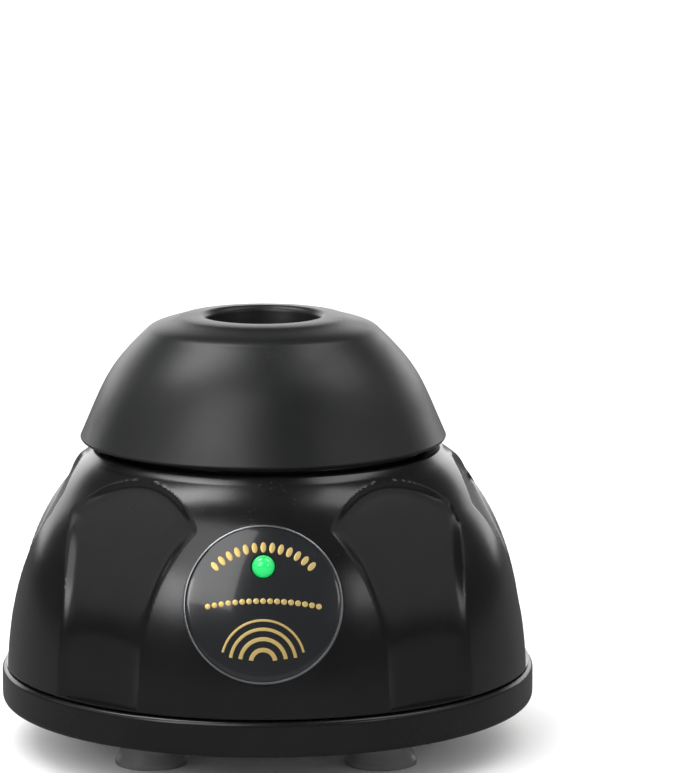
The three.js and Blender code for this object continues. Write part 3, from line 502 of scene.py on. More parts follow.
class FinishShelf:
    """All finishes of the mixer, each made into a material when first asked for."""

    FINISHES = [
        Finish("black_shell", "gloss_black", (0.0036, 0.0036, 0.0038), (0.0052, 0.0052, 0.0054), 0.2,
               grain_scale=2600.0, relief=0.000012, smudge=0.06, dust=0.1, scratch=0.12),
        Finish("black_plate", "gloss_black", (0.0036, 0.0036, 0.0038), (0.0052, 0.0052, 0.0055), 0.24,
               grain_scale=2600.0, relief=0.000014, smudge=0.07, dust=0.1, scratch=0.15),
        Finish("hood_silicone", "hood_rubber", (0.0048, 0.0053, 0.0053), (0.0066, 0.0071, 0.007), 0.38,
               grain_scale=4200.0, relief=0.00003, smudge=0.08, dust=0.1, scratch=0.0, specular=0.55),
        Finish("foot_rubber_dark", "foot_rubber", (0.12, 0.12, 0.123), (0.15, 0.15, 0.153), 0.4,
               grain_scale=3500.0, relief=0.00002, smudge=0.12, dust=0.2, scratch=0.0),
        Finish("badge_lacquer", "badge", (0.009, 0.0096, 0.0112), (0.012, 0.0127, 0.0145), 0.2, coat=0.8,
               grain_scale=5000.0, relief=0.000003, smudge=0.05, dust=0.15, scratch=0.4),
        Finish("badge_gilt", "badge", (0.74, 0.53, 0.17), (0.86, 0.66, 0.27), 0.34, metallic=0.75,
               grain_scale=6000.0, relief=0.00001, smudge=0.1, dust=0.0, scratch=0.0),
        Finish("badge_rim_bright", "badge", (0.34, 0.35, 0.37), (0.42, 0.43, 0.45), 0.22, metallic=1.0,
               grain_scale=4000.0, relief=0.000004, smudge=0.06, dust=0.0, scratch=0.2),
        Finish("lamp_green", "lamp", (0.012, 0.46, 0.1), (0.02, 0.56, 0.14), 0.08, coat=1.0,
               grain_scale=900.0, relief=0.000002, smudge=0.03, dust=0.0, scratch=0.0, glow=0.3),
        Finish("zinc_screw", "screw_steel", (0.5, 0.5, 0.53), (0.42, 0.42, 0.43), 0.28, metallic=1.0,
               relief=0.00001, dust=0.1),
        Finish("bright_spring", "spring_steel", (0.55, 0.55, 0.57), (0.47, 0.47, 0.48), 0.22, metallic=1.0,
               relief=0.000006, dust=0.0),
        Finish("drawn_steel", "motor_steel", (0.52, 0.53, 0.55), (0.44, 0.45, 0.46), 0.3, metallic=1.0,
               relief=0.00001, dust=0.1),
        Finish("moulded_grey_part", "moulded_grey", (0.045, 0.047, 0.052), (0.058, 0.06, 0.066), 0.5,
               relief=0.00003, dust=0.3),
        Finish("nylon_natural", "white_nylon", (0.66, 0.65, 0.6), (0.72, 0.7, 0.64), 0.45,
               relief=0.00002, dust=0.1),
        Finish("brass_part", "brass", (0.62, 0.44, 0.19), (0.52, 0.36, 0.15), 0.26, metallic=1.0,
               relief=0.000008, dust=0.0),
        Finish("turned_aluminium", "aluminium", (0.62, 0.63, 0.65), (0.55, 0.56, 0.58), 0.3, metallic=1.0,
               relief=0.00001, dust=0.0),
        Finish("solder_mask", "board_green", (0.015, 0.13, 0.05), (0.02, 0.17, 0.065), 0.34, coat=0.3,
               relief=0.000015, dust=0.1),
        Finish("plunger_red", "switch_red", (0.42, 0.03, 0.025), (0.5, 0.05, 0.04), 0.4,
               relief=0.00001, dust=0.0),
        Finish("vinyl_red", "lead_red", (0.45, 0.018, 0.016), (0.52, 0.03, 0.025), 0.42,
               relief=0.00001, dust=0.0),
        Finish("vinyl_black", "lead_black", (0.014, 0.014, 0.015), (0.022, 0.022, 0.022), 0.42,
               relief=0.00001, dust=0.0),
    ]
    BY_SLOT = {
        "gloss_black": "black_shell",
        "hood_rubber": "hood_silicone",
        "foot_rubber": "foot_rubber_dark",
        "badge": "badge_lacquer",
        "lamp": "lamp_green",
        "screw_steel": "zinc_screw",
        "spring_steel": "bright_spring",
        "motor_steel": "drawn_steel",
        "moulded_grey": "moulded_grey_part",
        "white_nylon": "nylon_natural",
        "brass": "brass_part",
        "aluminium": "turned_aluminium",
        "board_green": "solder_mask",
        "switch_red": "plunger_red",
        "lead_red": "vinyl_red",
        "lead_black": "vinyl_black",
    }

    def __init__(self) -> None:
        """Lists the finishes by name."""
        self.groups = ShaderGroups()
        self.known = {finish.name: finish for finish in self.FINISHES}
        self.made: dict[str, bpy.types.Material] = {}

    def get(self, name: str) -> bpy.types.Material:
        """A finish's material.

        Args:
            name: the finish's name.

        Returns:
            Its material, made once.
        """
        if name not in self.made:
            self.made[name] = self.known[name].material(self.groups)
        return self.made[name]


# ------------------------------------------------------------------ meshes


@dataclass
class MeshDraft:
    """Vertices in millimetres and faces, collected before they become an object."""

    points: list[Point] = field(default_factory=list)
    faces: list[tuple[int, ...]] = field(default_factory=list)

    def take(self, points: Iterable[Sequence[float]], faces: Iterable[Sequence[int]]) -> "MeshDraft":
        """Adds vertices and the faces between them.

        Args:
            points: new vertices.
            faces: faces that count from the first new vertex.

        Returns:
            The draft itself.
        """
        start = len(self.points)
        self.points.extend(tuple(float(c) for c in p) for p in points)
        self.faces.extend(tuple(start + i for i in face) for face in faces)
        return self

    def moved(self, matrix: Matrix) -> "MeshDraft":
        """A turned and shifted copy of the draft."""
        return MeshDraft([tuple(matrix @ Vector(p)) for p in self.points], list(self.faces))

    def join(self, other: "MeshDraft") -> "MeshDraft":
        """Adds another draft's mesh to this one."""
        return self.take(other.points, other.faces)

    def mesh(self, name: str) -> bpy.types.Mesh:
        """Makes the Blender mesh, in metres.

        Args:
            name: the mesh's name.

        Returns:
            The mesh.
        """
        mesh = bpy.data.meshes.new(name)
        mesh.from_pydata([tuple(c * MM for c in p) for p in self.points], [], self.faces)
        mesh.validate()
        return mesh


def ring_faces(rows: int, columns: int, closed_rows: bool = False) -> list[tuple[int, int, int, int]]:
    """Quads of a grid whose columns run all the way round.

    Args:
        rows: number of rows of vertices.
        columns: vertices in a row.
        closed_rows: whether the last row joins the first.

    Returns:
        The quads, facing out when rows climb the outside anticlockwise.
    """
    last = rows if closed_rows else rows - 1
    return [
        (a * columns + i, a * columns + (i + 1) % columns, (a + 1) % rows * columns + (i + 1) % columns,
         (a + 1) % rows * columns + i)
        for a in range(last) for i in range(columns)
    ]


def turned(profile: Sequence[tuple[float, float]], segments: int) -> MeshDraft:
    """Turns a profile round the Z axis.

    Args:
        profile: (radius, height) points, anticlockwise when the radius is drawn to the right. It starts and
            ends on the axis, or closes on itself.
        segments: facets all round.

    Returns:
        The turned mesh, with single vertices at its poles.
    """
    draft = MeshDraft()
    angles = np.arange(segments) * TAU / segments
    on_axis = profile[0][0] == 0
    rings = profile[1:-1] if on_axis else profile
    points = [(r * math.cos(a), r * math.sin(a), z) for r, z in rings for a in angles]
    faces: list[tuple[int, ...]] = list(ring_faces(len(rings), segments, closed_rows=not on_axis))
    if on_axis:
        low, high = len(points), len(points) + 1
        points += [(0.0, 0.0, profile[0][1]), (0.0, 0.0, profile[-1][1])]
        top = (len(rings) - 1) * segments
        faces += [(low, (i + 1) % segments, i) for i in range(segments)]
        faces += [(high, top + i, top + (i + 1) % segments) for i in range(segments)]
    return draft.take(points, faces)


def filleted(corners: Sequence[tuple[float, ...]], steps: int = 5) -> list[tuple[float, float]]:
    """Rounds the corners of a profile.

    Args:
        corners: (radius, height) or (radius, height, fillet) of each corner.
        steps: points on each fillet.

    Returns:
        The profile with arcs in place of the corners that have a fillet.
    """
    out: list[tuple[float, float]] = []
    for i, corner in enumerate(corners):
        here = Vector(corner[:2])
        if len(corner) < 3 or not corner[2]:
            out.append(tuple(here))
            continue
        before = (Vector(corners[i - 1][:2]) - here)
        after = (Vector(corners[(i + 1) % len(corners)][:2]) - here)
        half = before.angle(after) / 2
        back = min(corner[2] / math.tan(half), 0.49 * before.length, 0.49 * after.length)
        start, end = here + before.normalized() * back, here + after.normalized() * back
        for k in range(steps + 1):
            t = k / steps
            out.append(tuple(start * (1 - t) ** 2 + here * 2 * t * (1 - t) + end * t * t))
    return out


def cubic(start: Sequence[float], first: Sequence[float], second: Sequence[float], end: Sequence[float],
          steps: int) -> list[tuple[float, float]]:
    """Points of a cubic curve from start to end, with its two handles."""
    t = np.linspace(0, 1, steps + 1)[:, None]
    a, b, c, d = (np.array(p, float) for p in (start, first, second, end))
    points = (1 - t) ** 3 * a + 3 * (1 - t) ** 2 * t * b + 3 * (1 - t) * t * t * c + t ** 3 * d
    return [tuple(p) for p in points]


class Workshop:
    """Turns drafts into finished pieces that ride on their bodies."""

    def __init__(self, shelf: FinishShelf) -> None:
        """Keeps the shelf of finishes.

        Args:
            shelf: finishes to dress pieces with.
        """
        self.shelf = shelf

    def object_of(self, name: str, mesh: bpy.types.Mesh, finish: str,
                  sharp: float = 35.0) -> bpy.types.Object:
        """Puts a mesh into the scene with a finish and smooth shading.

        Args:
            name: the object's name.
            mesh: its mesh.
            finish: name of the finish.
            sharp: angle in degrees above which an edge stays sharp.

        Returns:
            The new object.
        """
        made = bpy.data.objects.new(name, mesh)
        bpy.context.scene.collection.objects.link(made)
        mesh.materials.clear()
        mesh.materials.append(self.shelf.get(finish))
        mesh.shade_smooth()
        mesh.set_sharp_from_angle(angle=math.radians(sharp))
        return made

    def piece(self, name: str, draft: MeshDraft | bpy.types.Mesh, finish: str, body: Body,
              replaces: Sequence[str] = (), sharp: float = 35.0) -> bpy.types.Object:
        """Args:
            name: the piece's name.
            draft: its mesh.
            finish: name of its finish.
            body: body it rides on.
            replaces: CAD nodes it stands for.
            sharp: angle in degrees above which an edge stays sharp.

        Returns:
            The piece.
        """
        mesh = draft.mesh(name) if isinstance(draft, MeshDraft) else draft
        made = self.object_of(name, mesh, finish, sharp)
        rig.ride(made, body.value)
        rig.slot(made, self.shelf.known[finish].slot)
        if replaces:
            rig.replaces(made, *replaces)
        log.info("%s: %d faces on %s", name, len(mesh.polygons), body.value)
        return made

    def baked(self, carrier: bpy.types.Object, name: str) -> bpy.types.Mesh:
        """Turns a carrier and its modifiers into a plain mesh and removes the carrier.

        Args:
            carrier: object whose modifiers make the shape.
            name: name of the mesh.

        Returns:
            The evaluated mesh.
        """
        bpy.context.view_layer.update()
        graph = bpy.context.evaluated_depsgraph_get()
        mesh = bpy.data.meshes.new_from_object(carrier.evaluated_get(graph))
        mesh.name = name
        carrier.modifiers.clear()
        bpy.data.objects.remove(carrier)
        return mesh

    def cut(self, draft: MeshDraft, cutters: Sequence[MeshDraft], name: str) -> bpy.types.Mesh:
        """Cuts closed drafts out of another.

        Args:
            draft: body to cut.
            cutters: closed bodies to take away.
            name: name of the resulting mesh.

        Returns:
            The cut mesh.
        """
        carrier = bpy.data.objects.new(name, draft.mesh(name))
        bpy.context.scene.collection.objects.link(carrier)
        tools = MeshDraft()
        for cutter in cutters:
            tools.join(cutter)
        tool = bpy.data.objects.new("cutters", tools.mesh("cutters"))
        bpy.context.scene.collection.objects.link(tool)
        boolean = carrier.modifiers.new("cut", "BOOLEAN")
        boolean.operation = "DIFFERENCE"
        boolean.solver = "EXACT"
        boolean.use_self = True
        boolean.object = tool
        mesh = self.baked(carrier, name)
        bpy.data.objects.remove(tool)
        return mesh


# ------------------------------------------------------------------ geometry node trees


class GeometryTrees:
    """Geometry node trees for what repeats: copies on points, and marks along an arc."""

    def __init__(self) -> None:
        """Builds the trees."""
        self.copies = self._copies()
        self.marks = self._marks()

    @staticmethod
    def _start(name: str, inputs: dict[str, str]) -> tuple[NodeDraft, dict]:
        """Starts a tree with a geometry input and named inputs.

        Args:
            name: the tree's name.
            inputs: socket type of each input, by name.

        Returns:
            The draft and the group's input sockets by name.
        """
        tree = bpy.data.node_groups.new(name, "GeometryNodeTree")
        tree.interface.new_socket("Geometry", in_out="INPUT", socket_type="NodeSocketGeometry")
        for label, kind in inputs.items():
            tree.interface.new_socket(label, in_out="INPUT", socket_type=kind)
        tree.interface.new_socket("Geometry", in_out="OUTPUT", socket_type="NodeSocketGeometry")
        draft = NodeDraft(tree)
        source = draft.add("NodeGroupInput")
        return draft, {s.name: s for s in source.outputs}

    @staticmethod
    def _end(draft: NodeDraft, geometry: bpy.types.NodeSocket,
             finish: bpy.types.NodeSocket) -> bpy.types.NodeTree:
        """Realizes instances, sets the material and closes the tree.

        Args:
            draft: draft of the tree.
            geometry: the instances.
            finish: the material.

        Returns:
            The finished tree.
        """
        real = draft.add("GeometryNodeRealizeInstances", {"Geometry": geometry})
        dressed = draft.add("GeometryNodeSetMaterial", {"Geometry": real.outputs[0], "Material": finish})
        draft.add("NodeGroupOutput", {"Geometry": dressed.outputs[0]})
        return draft.tree

    def _copies(self) -> bpy.types.NodeTree:
        """Places a copy of one piece on every point of the input mesh.

        Returns:
            A tree with inputs Piece and Finish.
        """
        inputs = {"Piece": "NodeSocketObject", "Finish": "NodeSocketMaterial"}
        draft, given = self._start("copies_on_points", inputs)
        pattern = draft.add("GeometryNodeObjectInfo", {"Object": given["Piece"]})
        spread = draft.add("GeometryNodeInstanceOnPoints", {
            "Points": given["Geometry"], "Instance": pattern.outputs["Geometry"]})
        return self._end(draft, spread.outputs[0], given["Finish"])

    def _marks(self) -> bpy.types.NodeTree:
        """Low rounded marks set along a circular arc, each along the arc's own direction.

        Returns:
            A tree with inputs Radius, Start, Sweep, Count, Mark Size and Finish.
        """
        draft, given = self._start("marks_on_arc", {
            "Radius": "NodeSocketFloat", "Start": "NodeSocketFloat", "Sweep": "NodeSocketFloat",
            "Count": "NodeSocketInt", "Mark Size": "NodeSocketVector", "Finish": "NodeSocketMaterial"})
        bow = {"Resolution": 48, "Radius": given["Radius"], "Start Angle": given["Start"],
               "Sweep Angle": given["Sweep"]}
        arc = draft.add("GeometryNodeCurveArc", bow, mode="RADIUS")
        stops = draft.add("GeometryNodeResampleCurve", {
            "Curve": arc.outputs["Curve"], "Count": given["Count"]})
        along = draft.add("GeometryNodeInputTangent")
        facing = draft.add("FunctionNodeAlignRotationToVector", {"Vector": along.outputs[0]}, axis="X")
        mark = draft.add("GeometryNodeMeshUVSphere", {"Segments": 16, "Rings": 8, "Radius": 1.0})
        spread = draft.add("GeometryNodeInstanceOnPoints", {
            "Points": stops.outputs[0], "Instance": mark.outputs["Mesh"], "Rotation": facing.outputs[0],
            "Scale": given["Mark Size"]})
        return self._end(draft, spread.outputs[0], given["Finish"])

    @staticmethod
    def run(tree: bpy.types.NodeTree, places: Sequence[Point], values: dict[str, object],
            workshop: Workshop, name: str) -> bpy.types.Mesh:
        """Runs a tree on a cloud of points and returns the plain mesh.

        Args:
            tree: the tree to run.
            places: points in millimetres.
            values: input values by socket name, lengths in metres.
            workshop: workshop that bakes the carrier.
            name: name of the mesh.

        Returns:
            The realized mesh.
        """
        carrier = bpy.data.objects.new(name, MeshDraft(list(places)).mesh(name))
        bpy.context.scene.collection.objects.link(carrier)
        modifier = carrier.modifiers.new(tree.name, "NODES")
        modifier.node_group = tree
        for item in tree.interface.items_tree:
            if item.in_out == "INPUT" and item.name in values:
                modifier[item.identifier] = values[item.name]
        return workshop.baked(carrier, name)

    def spread(self, pattern: bpy.types.Mesh, places: Sequence[Point], finish: str,
               workshop: Workshop, name: str) -> bpy.types.Mesh:
        """Puts a copy of a pattern on every place.

        Args:
            pattern: mesh to copy.
            places: points in millimetres.
            finish: name of the copies' finish.
            workshop: workshop that bakes the carrier.
            name: name of the mesh.

        Returns:
            The mesh of all copies.
        """
        piece = workshop.object_of(f"{name}_pattern", pattern, finish)
        values = {"Piece": piece, "Finish": workshop.shelf.get(finish)}
        mesh = self.run(self.copies, places, values, workshop, name)
        bpy.data.objects.remove(piece)
        return mesh


# ------------------------------------------------------------------ base plate and feet


@dataclass
class BasePlate:
    """Round moulded plate: floor, rim, guide posts, counterbores and foot sockets."""

    radius: float = 60.0
    bottom: float = 9.6
    floor: float = 12.6
    top: float = 17.6
    rim: float = 3.4
    segments: int = 288
    post_orbit: float = 23.0
    post_foot: float = 5.0
    post_radius: float = 3.0
    post_bore: float = 1.15
    spring_seat: float = 24.0
    post_top: float = 45.0
    post_azimuths: tuple[float, ...] = (90.0, 210.0, 330.0)
    foot_offset: float = 25.4
    screw_orbit: float = 48.0
    screw_azimuths: tuple[float, ...] = (64.25, 115.75, 244.25, 295.75)
    counterbore: float = 1.7

    @property
    def foot_places(self) -> list[Point]:
        """Centres of the four suction feet."""
        return [(x * self.foot_offset, y * self.foot_offset, 0.0) for x in (1, -1) for y in (1, -1)]

    @property
    def screw_places(self) -> list[Point]:
        """Centres of the four case screws, at the seats of their heads."""
        turns = [math.radians(a - 90) for a in self.screw_azimuths]
        orbit, seat = self.screw_orbit, self.bottom + self.counterbore
        return [(orbit * math.cos(a), orbit * math.sin(a), seat) for a in turns]

    def dish(self) -> MeshDraft:
        """The plate's turned body.

        Returns:
            A closed mesh with rounded edges and a slim drip groove under its edge.
        """
        inner = self.radius - self.rim
        corners = [
            (0.0, self.bottom), (55.2, self.bottom, 0.2), (55.5, self.bottom + 0.5, 0.2),
            (56.3, self.bottom + 0.5, 0.2), (56.6, self.bottom, 0.2), (self.radius, self.bottom, 2.1),
            (self.radius, self.top, 1.25), (inner, self.top, 0.3), (inner, self.floor, 0.5),
            (0.0, self.floor)]
        return turned(filleted(corners, 7), self.segments)

    def post(self, azimuth: float) -> MeshDraft:
        """One stepped guide post for a press spring, at an azimuth in degrees."""
        root, bore_end = self.floor - 1, self.post_top - 11
        profile = filleted([
            (0.0, root), (self.post_foot, root), (self.post_foot, self.spring_seat, 0.3),
            (self.post_radius, self.spring_seat), (self.post_radius, self.post_top, 0.3),
            (self.post_bore, self.post_top), (self.post_bore, bore_end), (0.0, bore_end)], 3)
        turn = math.radians(azimuth)
        place = Matrix.Translation((self.post_orbit * math.cos(turn), self.post_orbit * math.sin(turn), 0))
        return turned(profile, 40).moved(place)

    def cutters(self) -> list[MeshDraft]:
        """Bodies to cut out of the floor: screw holes with counterbores, and foot holes."""
        under, over, seat = self.bottom - 1.6, self.floor + 1.4, self.bottom + self.counterbore
        bore = turned([(0.0, under), (3.3, under), (3.3, seat), (1.7, seat), (1.7, over), (0.0, over)], 48)
        hole = turned([(0.0, under), (3.6, under), (3.6, over), (0.0, over)], 48)
        bores = [bore.moved(Matrix.Translation((x, y, 0))) for x, y, _ in self.screw_places]
        return bores + [hole.moved(Matrix.Translation((x, y, 0))) for x, y, _ in self.foot_places]

    def build(self, workshop: Workshop) -> None:
        """Makes the plate.

        Args:
            workshop: workshop that makes the piece.
        """
        mesh = workshop.cut(self.dish(), self.cutters(), "plate_blank")
        posts = MeshDraft()
        for azimuth in self.post_azimuths:
            posts.join(self.post(azimuth))
        mesh = joined_mesh("lower_plate", [mesh, posts.mesh("posts")])
        workshop.piece("lower_plate", mesh, "black_plate", Body.HOUSING, ["base_plate"])


@dataclass
class SuctionFeet:
    """Four push-in rubber suction feet."""

    plate: BasePlate
    radius: float = 8.0
    segments: int = 96

    def foot(self) -> MeshDraft:
        """One foot with its hollow underside, lip and neck.

        Returns:
            A closed turned mesh centred on its own axis.
        """
        corners = [
            (0.0, 1.75), (3.2, 1.6), (5.6, 1.0), (6.8, 0.0, 0.15), (self.radius, 0.0, 0.3),
            (self.radius, 1.0, 0.4), (7.35, 2.2, 0.6), (6.95, 3.3, 0.5), (6.9, 4.6), (6.9, 6.6),
            (6.72, 6.85), (6.72, 7.15), (6.9, 7.4), (6.9, 9.6, 0.35), (3.3, 9.6), (3.3, 12.7),
            (4.6, 12.7, 0.3), (3.4, 14.6, 0.3), (0.0, 14.8)]
        return turned(filleted(corners, 6), self.segments)

    def build(self, workshop: Workshop, trees: GeometryTrees) -> None:
        """Sets the four feet into the plate.

        Args:
            workshop: workshop that makes the piece.
            trees: geometry node trees.
        """
        finish = "foot_rubber_dark"
        mesh = trees.spread(self.foot().mesh("foot_pattern"), self.plate.foot_places, finish, workshop,
                            "suction_feet")
        workshop.piece("suction_feet", mesh, finish, Body.HOUSING, numbered("suction_foot", 4))


@dataclass
class CaseScrews:
    """The four cross-recessed screws that hold plate and housing together from below."""

    plate: BasePlate
    head: float = 2.9
    head_height: float = 1.5
    shank: float = 1.4
    length: float = 9.0
    pitch: float = 0.9
    thread_depth: float = 0.32

    def screw(self, workshop: Workshop) -> bpy.types.Mesh:
        """One screw, head down.

        Args:
            workshop: workshop that cuts the recess.

        Returns:
            The screw's mesh.
        """
        corners = [
            (0.0, self.head_height), (self.head * 0.62, self.head_height * 0.95, 0.4),
            (self.head, self.head_height * 0.45, 0.3), (self.head, 0.0, 0.1), (self.shank, 0.0)]
        core = self.shank - self.thread_depth
        for i in range(int((self.length - 2) / self.pitch)):
            low = -0.6 - i * self.pitch
            corners += [(self.shank, low), (self.shank, low - 0.2), (core, low - 0.4), (core, low - 0.7)]
        corners += [(self.shank - 0.35, 1.3 - self.length), (0.0, -self.length)]
        body = turned([(r, -z) for r, z in filleted(corners, 3)], 40)
        wide, thin, deep = self.head * 0.5, self.head * 0.13, self.head_height * 0.4
        over = self.head_height + 1
        recess = [slot_wedge(wide, thin, deep, over), slot_wedge(thin, wide, deep, over)]
        upside_down = Matrix.Rotation(math.pi, 4, "X")
        return workshop.cut(body, [r.moved(upside_down) for r in recess], "case_screw")

    def build(self, workshop: Workshop, trees: GeometryTrees) -> None:
        """Puts the four screws into their counterbores.

        Args:
            workshop: workshop that makes the piece.
            trees: geometry node trees.
        """
        finish = "zinc_screw"
        mesh = trees.spread(self.screw(workshop), self.plate.screw_places, finish, workshop, "case_screws")
        workshop.piece("case_screws", mesh, finish, Body.HOUSING, numbered("case_screw", 4))


def slot_wedge(half_x: float, half_y: float, bottom: float, top: float) -> MeshDraft:
    """One arm pair of a cross recess, narrower at its bottom.

    Args:
        half_x: half length along X at the top.
        half_y: half width along Y at the top.
        bottom: height of its floor.
        top: height where it ends, above the head.

    Returns:
        A closed tapered block.
    """
    corners = [(-1, -1), (1, -1), (1, 1), (-1, 1)]
    low = [(x * half_x * 0.7, y * half_y * 0.7, bottom) for x, y in corners]
    high = [(x * half_x, y * half_y, top) for x, y in corners]
    sides = [(i, (i + 1) % 4, (i + 1) % 4 + 4, i + 4) for i in range(4)]
    return MeshDraft().take(low + high, [(3, 2, 1, 0), (4, 5, 6, 7), *sides])


def joined_mesh(name: str, meshes: Sequence[bpy.types.Mesh]) -> bpy.types.Mesh:
    """Puts several meshes into one.

    Args:
        name: name of the new mesh.
        meshes: meshes in metres.

    Returns:
        The joined mesh.
    """
    draft = MeshDraft()
    for mesh in meshes:
        draft.take([tuple(v.co / MM) for v in mesh.vertices], [tuple(p.vertices) for p in mesh.polygons])
    return draft.mesh(name)


# ------------------------------------------------------------------ dome, panels and badge


class Dome:
    """The housing's outer surface of revolution and what is projected on it."""

    RIM = (59.2, 17.6)
    HANDLES = ((59.3, 27.0), (56.2, 56.0))
    SHOULDER = (40.41, 65.65)

    def __init__(self) -> None:
        """Samples the outer curve from the lower rim to the deck."""
        curve = cubic(self.RIM, *self.HANDLES, self.SHOULDER, 400)
        self.radii = np.array([r for r, _ in curve])
        self.heights = np.array([z for _, z in curve])

    def radius(self, height: np.ndarray | float) -> np.ndarray:
        """Radius of the dome at a height."""
        return np.interp(height, self.heights, self.radii)

    def projected(self, flat: np.ndarray, height: float, tilt: float) -> np.ndarray:
        """Lays a flat drawing on the dome's front.

        Args:
            flat: rows of (u, v, lift): right, up and out of a plane that touches the dome.
            height: height where the plane touches.
            tilt: elevation of the plane's normal, in radians.

        Returns:
            Rows of (x, y, z), each lift measured along the plane's normal from the dome.
        """
        normal = np.array([0.0, -math.cos(tilt), math.sin(tilt)])
        up = np.array([0.0, math.sin(tilt), math.cos(tilt)])
        base = np.array([0.0, -float(self.radius(height)), height])
        start = base + flat[:, :1] * np.array([1.0, 0, 0]) + flat[:, 1:2] * up
        low, high = np.full(len(flat), -12.0), np.full(len(flat), 12.0)
        for _ in range(40):
            middle = (low + high) / 2
            point = start + middle[:, None] * normal
            outside = np.hypot(point[:, 0], point[:, 1]) > self.radius(point[:, 2])
            high = np.where(outside, middle, high)
            low = np.where(outside, low, middle)
        return start + ((low + high) / 2 + flat[:, 2])[:, None] * normal


@dataclass
class ArchPanels:
    """Six arched panels, each of two facets that meet at a crease, sunk into the dome."""

    azimuths: tuple[float, ...] = (38.5, 90.0, 141.5, 218.5, 270.0, 321.5)
    half_width: float = 11.45
    side_top: float = 26.0
    side_handle: float = 47.0
    corner: tuple[float, float] = (18.3, 56.7)
    arch_handle: float = 10.2
    apex: float = 64.8
    crease_depth: float = 56.0
    crease_height: float = 33.8
    crease_drop: float = 2.0
    lower_lean: float = 0.08
    upper_lean: float = 0.27
    upper_bend: float = 0.0079
    crease_softness: float = 0.12
    wall: float = 3.3
    reach: float = math.radians(32)

    def outline(self) -> np.ndarray:
        """Right half of the outline as (t, z) points, from below the rim to the apex."""
        t = np.linspace(0, 1, 60)[:, None]
        low = np.array([[self.half_width, z] for z in (8.0, 17.0, self.side_top)])
        a, b, c = low[-1], np.array([self.half_width - 0.1, self.side_handle]), np.array(self.corner)
        side = (1 - t) ** 2 * a + 2 * t * (1 - t) * b + t * t * c
        d, e = np.array([self.arch_handle, self.apex]), np.array([0.0, self.apex])
        top = (1 - t) ** 2 * c + 2 * t * (1 - t) * d + t * t * e
        return np.vstack([low[:-1], side, top[1:]])

    def inward(self, across: np.ndarray, height: np.ndarray) -> np.ndarray:
        """Signed distance from the outline, positive inside the panel.

        Args:
            across: distances from the panel's middle.
            height: heights.

        Returns:
            Distances, one for each point.
        """
        line = self.outline()
        points = np.stack([np.abs(across), height], axis=-1)[..., None, :]
        start, step = line[:-1], line[1:] - line[:-1]
        along = ((points - start) * step).sum(-1) / (step ** 2).sum(-1)
        nearest = start + np.clip(along, 0, 1)[..., None] * step
        distance = np.sqrt(((points - nearest) ** 2).sum(-1)).min(-1)
        half = np.where(height < self.side_top, self.half_width, np.interp(height, line[:, 1], line[:, 0]))
        inside = (np.abs(across) < half) & (height < self.apex)
        return np.where(inside, distance, -distance)

    def facet_depth(self, across: np.ndarray, height: np.ndarray) -> np.ndarray:
        """Distance of the facets from the axis, measured along the panel's own direction.

        Args:
            across: distances from the panel's middle.
            height: heights.

        Returns:
            The distances, with the crease slightly softened.
        """
        crease = self.crease_height - self.crease_drop * np.clip(across / self.half_width, -1.5, 1.5) ** 2
        upper = self.upper_depth(height)
        at_crease = self.upper_depth(crease)
        lower = at_crease + self.lower_lean * (crease - height)
        gap = upper - lower
        return (upper + lower - np.sqrt(gap * gap + self.crease_softness)) / 2

    def upper_depth(self, height: np.ndarray) -> np.ndarray:
        """Distance of the upper facet from the axis at a height."""
        rise = height - self.crease_height
        return self.crease_depth - self.upper_lean * rise - self.upper_bend * rise * rise

    def carve(self, radius: np.ndarray, azimuth: np.ndarray, height: np.ndarray) -> np.ndarray:
        """Carves the panels into the dome's radii.

        Args:
            radius: radii of the plain dome.
            azimuth: azimuths from the front, in radians.
            height: heights.

        Returns:
            The carved radii.
        """
        carved = radius.copy()
        for centre in self.azimuths:
            turn = (azimuth - math.radians(centre) + math.pi) % TAU - math.pi
            near = np.abs(turn) < self.reach
            across = radius[near] * np.sin(turn[near])
            inside = self.inward(across, height[near])
            facet = self.facet_depth(across, height[near]) / np.cos(turn[near])
            share = np.clip((inside + 0.1) / self.wall, 0, 1)
            share = 1 - (1 - share) ** 3
            sunk = np.minimum(facet, radius[near])
            carved[near] = radius[near] + (sunk - radius[near]) * share
        return carved


